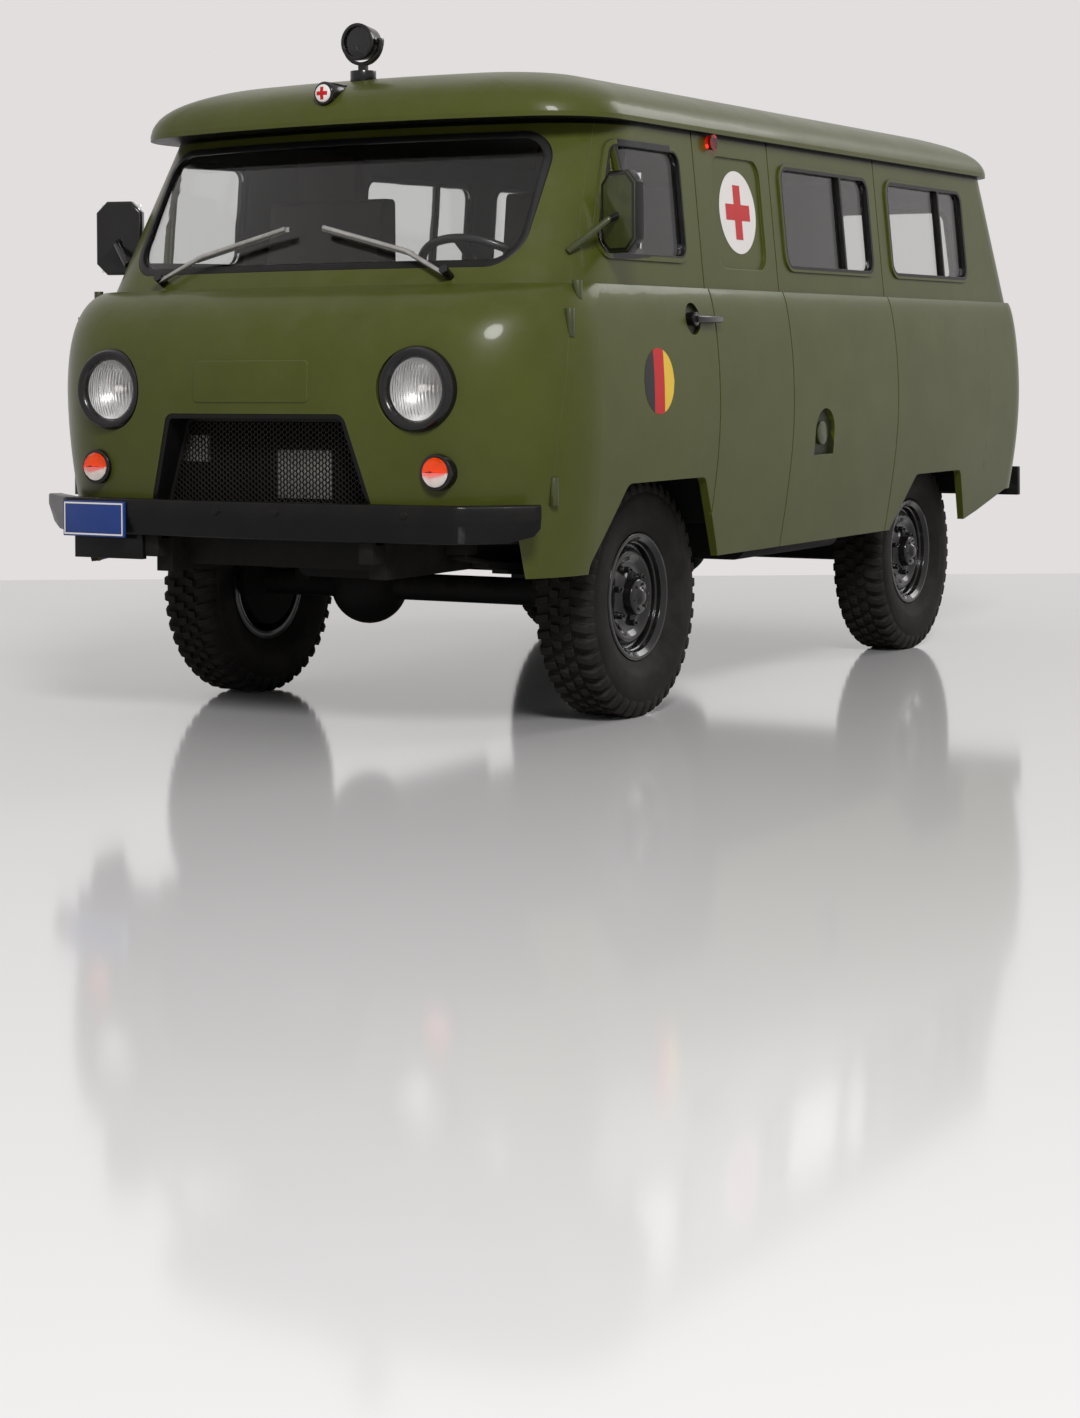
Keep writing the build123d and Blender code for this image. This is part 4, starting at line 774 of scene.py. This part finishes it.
# a domed lens, smooth outside and fluted inside
def flutedLens(y0, z0):
    shape = headlight
    radius, columns, rows = shape["lensRadius"], shape["columns"], shape["rows"]
    work = bmesh.new()
    sheets = []
    for inside in (0, 1):
        sheet = []
        for i in range(columns + 1):
            y = -radius * math.cos(math.pi * i / columns)
            rise = math.sqrt(max(radius * radius - y * y, 0))
            line = []
            for j in range(rows + 1):
                z = rise * (2 * j / rows - 1)
                cap = 1 - (y * y + z * z) / (radius * radius)
                flute = shape["fluteDeep"] * (0.5 - 0.5 * math.cos(2 * math.pi * y / shape["flutePitch"]))
                x = shape["lensRim"] + shape["lensBulge"] * cap
                x -= inside * (shape["lensThick"] + flute * min(shape["rimFade"] * cap, 1))
                line.append(work.verts.new(at(x, y0 + y, z0 + z)))
            sheet.append(line)
        sheets.append(sheet)
    outer, inner = sheets
    for i in range(columns):
        for j in range(rows):
            for sheet in sheets:
                work.faces.new([sheet[i][j], sheet[i + 1][j], sheet[i + 1][j + 1], sheet[i][j + 1]])
        for j in (0, rows):
            work.faces.new([outer[i][j], outer[i + 1][j], inner[i + 1][j], inner[i][j]])
    bmesh.ops.remove_doubles(work, verts=work.verts, dist=1e-8)
    bmesh.ops.dissolve_degenerate(work, dist=1e-9, edges=work.edges)
    bmesh.ops.recalc_face_normals(work, faces=work.faces)
    return meshOf(work, "flutedLens", lookNamed("ribbedLens"))


def makeHeadlights():
    shape = headlight
    y, z, segments = shape["aside"], shape["height"], shape["segments"]
    for name, meshes, slotName, nodes in (
            ("headlight_rings", turnedPair(shape["bezel"], segments, y, z, "lampBlack", True), "black_paint",
             ("headlight_bezels",)),
            ("headlight_reflectors", turnedPair(shape["bowl"], segments, y, z, "lampSilver"), "lamp_bowl",
             ("headlight_bowls",)),
            ("headlight_bulbs", turnedPair(shape["bulb"], shape["bulbSegments"], y, z, "discWhite"),
             "white_glass", ()),
            ("headlight_domes", [flutedLens(y, z), flutedLens(-y, z)], "lamp_glass", ("headlight_lenses",))):
        mesh = joined(meshes)
        smooth(mesh, shape["sharp"])
        newPiece(name, mesh, "chassis", slotName, *nodes)


makeHeadlights()

indicator = {
    "aside": 634, "height": 816, "segments": 48,
    "disc": [(2108.4, 0), (2108.4, 43), (2111, 43), (2113, 30), (2111, 0)],
}
mesh = joined(turnedPair(indicator["disc"], indicator["segments"], indicator["aside"], indicator["height"],
                         "brightMetal"))
smooth(mesh)
newPiece("indicator_reflectors", mesh, "chassis", "lamp_bowl")
print("lamps ready")

bumper = {
    "line": [(1992, 926), (2004, 911), (2050, 852), (2126, 755), (2144, 736), (2153, 715), (2158, 650), (2168, 466),
             (2175, 240), (2180, 0)],
    "section": [(-42, 721), (-7, 721), (-2, 719), (0, 714), (0, 668), (-2, 661), (-15, 610), (-18, 608), (-42, 608)],
    "ends": {926: 0.62, 911: 0.82, 852: 0.98}, "top": 721, "tab": ((2112, -700, 530), (2134, -430, 612)),
    "bolts": {"places": (-560, -110, 110, 560), "height": 690, "sides": 12, "radius": 11, "sunk": 12, "proud": 5},
    "bow": (2180, 26, 700),  # the face's front, and how far it falls back at a place to the side
    "bevel": (2, 2, 24),
}


def makeBumper():
    shape = bumper
    line = shape["line"] + [(x, -y) for x, y in reversed(shape["line"][:-1])]
    rings = []
    for number, (x, y) in enumerate(line):
        before, after = line[max(number - 1, 0)], line[min(number + 1, len(line) - 1)]
        along = Vector((after[0] - before[0], after[1] - before[1], 0)).normalized()
        outward = Vector((-along.y, along.x, 0))
        share = shape["ends"].get(abs(y), 1.0)
        rings.append([Vector((x, y, shape["top"] - (shape["top"] - z) * share)) + outward * out
                      for out, z in shape["section"]])
    (x0, y0, z0), (x1, y1, z1) = shape["tab"]
    tab = prism([(y0, z0), (y1, z0), (y1, z1), (y0, z1)], x0, x1, "X")
    meshes = [meshOf(loft(rings), "bumperBar", finish("bumperBlack")),
              meshOf(tab, "numberPlateTab", finish("bumperBlack"))]
    bolts = shape["bolts"]
    front, fall, aside = shape["bow"]
    for y in bolts["places"]:
        face = front - fall * (y / aside) ** 2
        head = prism(polygonAt(bolts["sides"], bolts["radius"], y, bolts["height"]), face - bolts["sunk"],
                     face + bolts["proud"], "X")
        meshes.append(meshOf(head, "bumperBolt", finish("bumperBlack")))
    mesh = bevelled(joined(meshes), *shape["bevel"])
    smooth(mesh)
    newPiece("front_bumper_pressed", mesh, "chassis", "black_paint", "front_bumper")


makeBumper()

grille = {
    "outline": [(-432, 640), (432, 640), (330, 986), (-330, 986)], "corner": 35, "bandInset": (12, 25),
    "bandDepth": (2030, 2041), "pitch": (24, 17), "bond": 3.6, "wire": 2.6, "meshDepth": (2032, 2038),
    "columns": 33, "rows": 35, "start": (-384, 665), "halfWidth": 598, "narrowing": 0.2948,
    "bondLonger": 1, "bondDeeper": 0.6, "overlap": 0.4, "sharp": 30,
}
radiatorFins = {"depth": (1990, 1997), "height": (632, 988), "thick": 2.4, "pitch": 10, "count": 78}


# a convex outline moved inwards, with its corners rounded; always the same number of points
def roundedOutline(points, inset, radius, steps=6):
    lines = []
    for first, second in zip(points, points[1:] + points[:1]):
        along = Vector((second[0] - first[0], second[1] - first[1])).normalized()
        lines.append((Vector(first) + Vector((-along.y, along.x)) * inset, along))
    corners = []
    for (p, u), (q, v) in zip(lines[-1:] + lines[:-1], lines):
        cross = u.x * v.y - u.y * v.x
        t = ((q.x - p.x) * v.y - (q.y - p.y) * v.x) / cross
        corner = p + u * t
        turn = math.acos(max(min(u.dot(v), 1), -1))
        bend = max(radius - inset, 1)
        inward = Vector((-u.y, u.x)) * bend
        middle = corner - u * bend * math.tan(turn / 2) + inward
        for step in range(steps + 1):
            angle = turn * step / steps
            corners.append(tuple(middle + u * bend * math.sin(angle) - inward * math.cos(angle)))
    return corners


def makeGrille():
    shape = grille
    outer, inner = (roundedOutline(shape["outline"], inset, shape["corner"]) for inset in shape["bandInset"])
    near, far = shape["bandDepth"]
    rings = [[(x, y, z) for y, z in outline]
             for x, outline in ((far, outer), (far, inner), (near, inner), (near, outer))]
    band = meshOf(loft(rings, ends=False, closed=True), "grilleBand", finish("meshBlack"))
    wide, high = shape["pitch"][0] / 2, shape["pitch"][1] / 2
    bond, wire, overlap, deeper = shape["bond"], shape["wire"] / 2, shape["overlap"], shape["bondDeeper"]
    half = bond + shape["bondLonger"]
    low, top = shape["meshDepth"]
    strands = [([(-half, -wire), (half, -wire), (half, wire), (-half, wire)], low - deeper, top + deeper)]
    for side in (1, -1):
        foot, head = Vector((side * (bond - overlap), 0)), Vector((side * (wide - bond + overlap), high))
        across = Vector((-(head - foot).y, (head - foot).x)).normalized() * wire
        strands.append(([tuple(foot - across), tuple(head - across), tuple(head + across), tuple(foot + across)],
                        low, top))
    cell = bmesh.new()
    for outline, x0, x1 in strands:
        cell.from_mesh(meshOf(prism(outline, x0, x1, "X"), "strand"))
    y0, z0 = shape["start"]
    lattice = repeated(cell, inRows, {
        "Columns": shape["columns"], "Rows": shape["rows"], "Start": at(0, y0, z0),
        "Column Step": at(0, 2 * wide, 0), "Row Step": at(0, 0, high), "Odd Row Shift": at(0, wide, 0),
        "Half Width": shape["halfWidth"] * mm, "Narrowing": shape["narrowing"], "Material": finish("meshBlack")})
    mesh = joined([band, lattice])
    smooth(mesh, shape["sharp"])
    newPiece("grille_lattice", mesh, "chassis", "black_paint", "grille_mesh")
    (x0, x1), (z0, z1) = radiatorFins["depth"], radiatorFins["height"]
    thick, pitch, count = radiatorFins["thick"], radiatorFins["pitch"], radiatorFins["count"]
    fin = prism([(x0, z0), (x1, z0), (x1, z1), (x0, z1)], -thick / 2, thick / 2)
    fins = repeated(fin, inRows, {
        "Columns": count, "Rows": 1, "Column Step": at(0, pitch, 0), "Row Step": at(0, 0, 0),
        "Start": at(0, -pitch * (count - 1) / 2, 0), "Half Width": 1.0, "Material": finish("underBlack")})
    newPiece("radiator_fins", fins, "chassis", "underbody_black")


makeGrille()

wiper = {
    "from": (1876, 390, 1478), "to": (1856, 72, 1560), "past": (20, 8), "back": (-0.93, 0, -0.36),
    "blade": ((7, 13), 9), "rubber": ((13, 17), 4),  # how deep behind the arm, and half the width
    "bevel": (1.2, 2, 30),
}


def makeWiperBlades():
    back = Vector(wiper["back"])
    low, high = wiper["past"]
    for name, kind, look, slotName in (("wiper_blades", "blade", "wiperSilver", "wiper_metal"),
                                       ("wiper_rubbers", "rubber", "sealRubber", "black_rubber")):
        (near, far), half = wiper[kind]
        bars = []
        for _, side in bodySides:
            foot, head = (Vector((x, side * y, z)) for x, y, z in (wiper["from"], wiper["to"]))
            along = (head - foot).normalized()
            across = along.cross(back).normalized() * half
            rings = [[spot + back * deep + across * sign
                      for deep, sign in ((near, -1), (near, 1), (far, 1), (far, -1))]
                     for spot in (foot - along * low, head + along * high)]
            bars.append(meshOf(loft(rings), "wiperBar", finish(look)))
        mesh = bevelled(joined(bars), *wiper["bevel"])
        smooth(mesh)
        newPiece(name, mesh, "chassis", slotName)


makeWiperBlades()
print("front fittings ready")


def surfaceTree(node):
    work = bmesh.new()
    work.from_mesh(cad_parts[node].data)
    tree = BVHTree.FromBMesh(work)
    work.free()
    return tree


# patches are grids of (across, up) points; aim turns one into a ray's start and way
def layMark(name, look, patches, aim, tree, lift, slotName):
    work = bmesh.new()
    for patch in patches:
        rows = []
        for line in patch:
            row = []
            for across, up in line:
                start, direction = aim(across, up)
                hit = tree.ray_cast(start, direction)
                if hit[0] is None:  # just past an edge
                    hit = tree.find_nearest(start)
                normal = hit[1] if hit[1].dot(direction) < 0 else -hit[1]
                row.append(work.verts.new(hit[0] + normal * lift * mm))
            rows.append(row)
        for first, second in zip(rows, rows[1:]):
            for i in range(len(first) - 1):
                work.faces.new([first[i], first[i + 1], second[i + 1], second[i]])
    bmesh.ops.remove_doubles(work, verts=work.verts, dist=1e-7)
    for face in work.faces:
        if face.normal.dot(direction) > 0:
            face.normal_flip()
    mesh = meshOf(work, name, finish(look))
    mesh.shade_smooth()
    newPiece(name, mesh, "chassis", slotName)


def rectanglePatch(x0, x1, z0, z1, columns, rows):
    return [[(x0 + (x1 - x0) * i / columns, z0 + (z1 - z0) * j / rows) for i in range(columns + 1)]
            for j in range(rows + 1)]


# the part of an ellipse between two shares of its half width
def discPatch(x, z, wide, high, columns, left=-1.0, right=1.0, rows=8):
    patch = []
    for j in range(rows + 1):
        line = []
        for i in range(columns + 1):
            share = left + (right - left) * (i / columns)
            if left == -1.0 and right == 1.0:
                share = -math.cos(math.pi * i / columns)
            rise = math.sqrt(max(1 - share * share, 0))
            line.append((x + share * wide, z + rise * high * (2 * j / rows - 1)))
        patch.append(line)
    return patch


def crossPatches(x, z, reach, half):
    return [rectanglePatch(x - half, x + half, z - reach, z + reach, 3, 9),
            rectanglePatch(x - reach, x - half, z - half, z + half, 3, 3),
            rectanglePatch(x + half, x + reach, z - half, z + half, 3, 3)]


# a closed band between outlines moved inwards by the given insets
def bandPatch(outline, insets, radius, steps):
    rows = [roundedOutline(outline, inset, radius, steps) for inset in insets]
    return [row + row[:1] for row in rows]


marks = {
    "disc": (560, 1638), "discRadius": 140, "crossReach": 92, "crossHalf": 27, "discLift": 0.8, "crossLift": 1.6,
    "roundel": (1314, 1076), "roundelSize": (101, 103), "bands": ("bandBlack", "crossRed", "bandYellow"),
    "lampCross": (20, 6), "lampHeight": 1990, "trimLift": 0.6, "rimLift": 0.7, "aside": 1200, "ahead": 3000,
}
sealTree = surfaceTree("window_seals")
for name, side in bodySides:
    tree = surfaceTree("side_panel_" + name)

    def sideAim(x, z, side=side):
        return at(x, side * marks["aside"], z), Vector((0, -side, 0))

    x, z = marks["disc"]
    radius = marks["discRadius"]
    layMark("white_disc_" + name, "discWhite", [discPatch(x, z, radius, radius, 40)], sideAim, tree,
            marks["discLift"], "white_glass")
    layMark("red_cross_" + name, "crossRed", crossPatches(x, z, marks["crossReach"], marks["crossHalf"]),
            sideAim, tree, marks["crossLift"], "red_glass")
    x, z = marks["roundel"]
    wide, high = marks["roundelSize"]
    share = 2 / len(marks["bands"])
    for number, colour in enumerate(marks["bands"]):
        right = 1 - share * number
        patch = discPatch(x, z, wide, high, 10, right - share, right)
        layMark("roundel_band_" + name + "_" + str(number + 1), colour, [patch], sideAim, tree,
                marks["discLift"], "green_paint")
    for number, (kind, outline) in enumerate(sideWindows["outlines"]):
        patch = bandPatch(outline, sideWindows["trim"][kind], sideWindows["corner"], 8)
        layMark("window_trim_" + name + "_" + str(number + 1), "bodyGreen", [patch], sideAim, sealTree,
                marks["trimLift"], "green_paint")


# the black rim round the green back of the left mirror
def makeMirrorRim():
    wide, high = leftMirror["half"]
    cut = leftMirror["chamfer"]
    outline = [(-wide + cut, -high), (wide - cut, -high), (wide, -high + cut), (wide, high - cut), (wide - cut, high),
               (-wide + cut, high), (-wide, high - cut), (-wide, -high + cut)]
    turn = math.radians(leftMirror["toe"])
    ahead, across = Vector((math.cos(turn), -math.sin(turn), 0)), Vector((math.sin(turn), math.cos(turn), 0))
    start = Vector(leftMirror["middle"]) + ahead * leftMirror["above"]

    def rimAim(u, w):
        return (start + across * u + Vector((0, 0, w))) * mm, -ahead

    layMark("mirror_rim_left", "lampBlack", [bandPatch(outline, leftMirror["rimInsets"], 1, 1)], rimAim,
            surfaceTree("mirror_left"), marks["rimLift"], "black_plastic")


makeMirrorRim()
plateBorder = {"ends": ((2150, -724), (2168, -466)), "height": (599, 711), "inset": 5, "wide": 5, "away": 200}


def makePlateBorder():
    foot, end = (Vector((x, y, 0)) for x, y in plateBorder["ends"])
    along = (end - foot).normalized()
    outward = Vector((along.y, -along.x, 0))
    inset, wide = plateBorder["inset"], plateBorder["wide"]
    near, far = inset, (end - foot).length - inset
    bottom, top = plateBorder["height"][0] + inset, plateBorder["height"][1] - inset

    def plateAim(u, z):
        return (foot + along * u + outward * plateBorder["away"] + Vector((0, 0, z))) * mm, -outward

    patches = [rectanglePatch(near, far, low, low + wide, 2, 1) for low in (bottom, top - wide)]
    patches += [rectanglePatch(left, left + wide, bottom + wide, top - wide, 1, 2) for left in (near, far - wide)]
    layMark("plate_border", "discWhite", patches, plateAim, surfaceTree("number_plate"), marks["rimLift"],
            "white_glass")


makePlateBorder()
reach, half = marks["lampCross"]
layMark("lamp_cross", "crossRed", crossPatches(0, marks["lampHeight"], reach, half),
        lambda y, z: (at(marks["ahead"], y, z), Vector((-1, 0, 0))), surfaceTree("cross_lamp_lens"),
        marks["trimLift"], "red_glass")
print("marks ready")
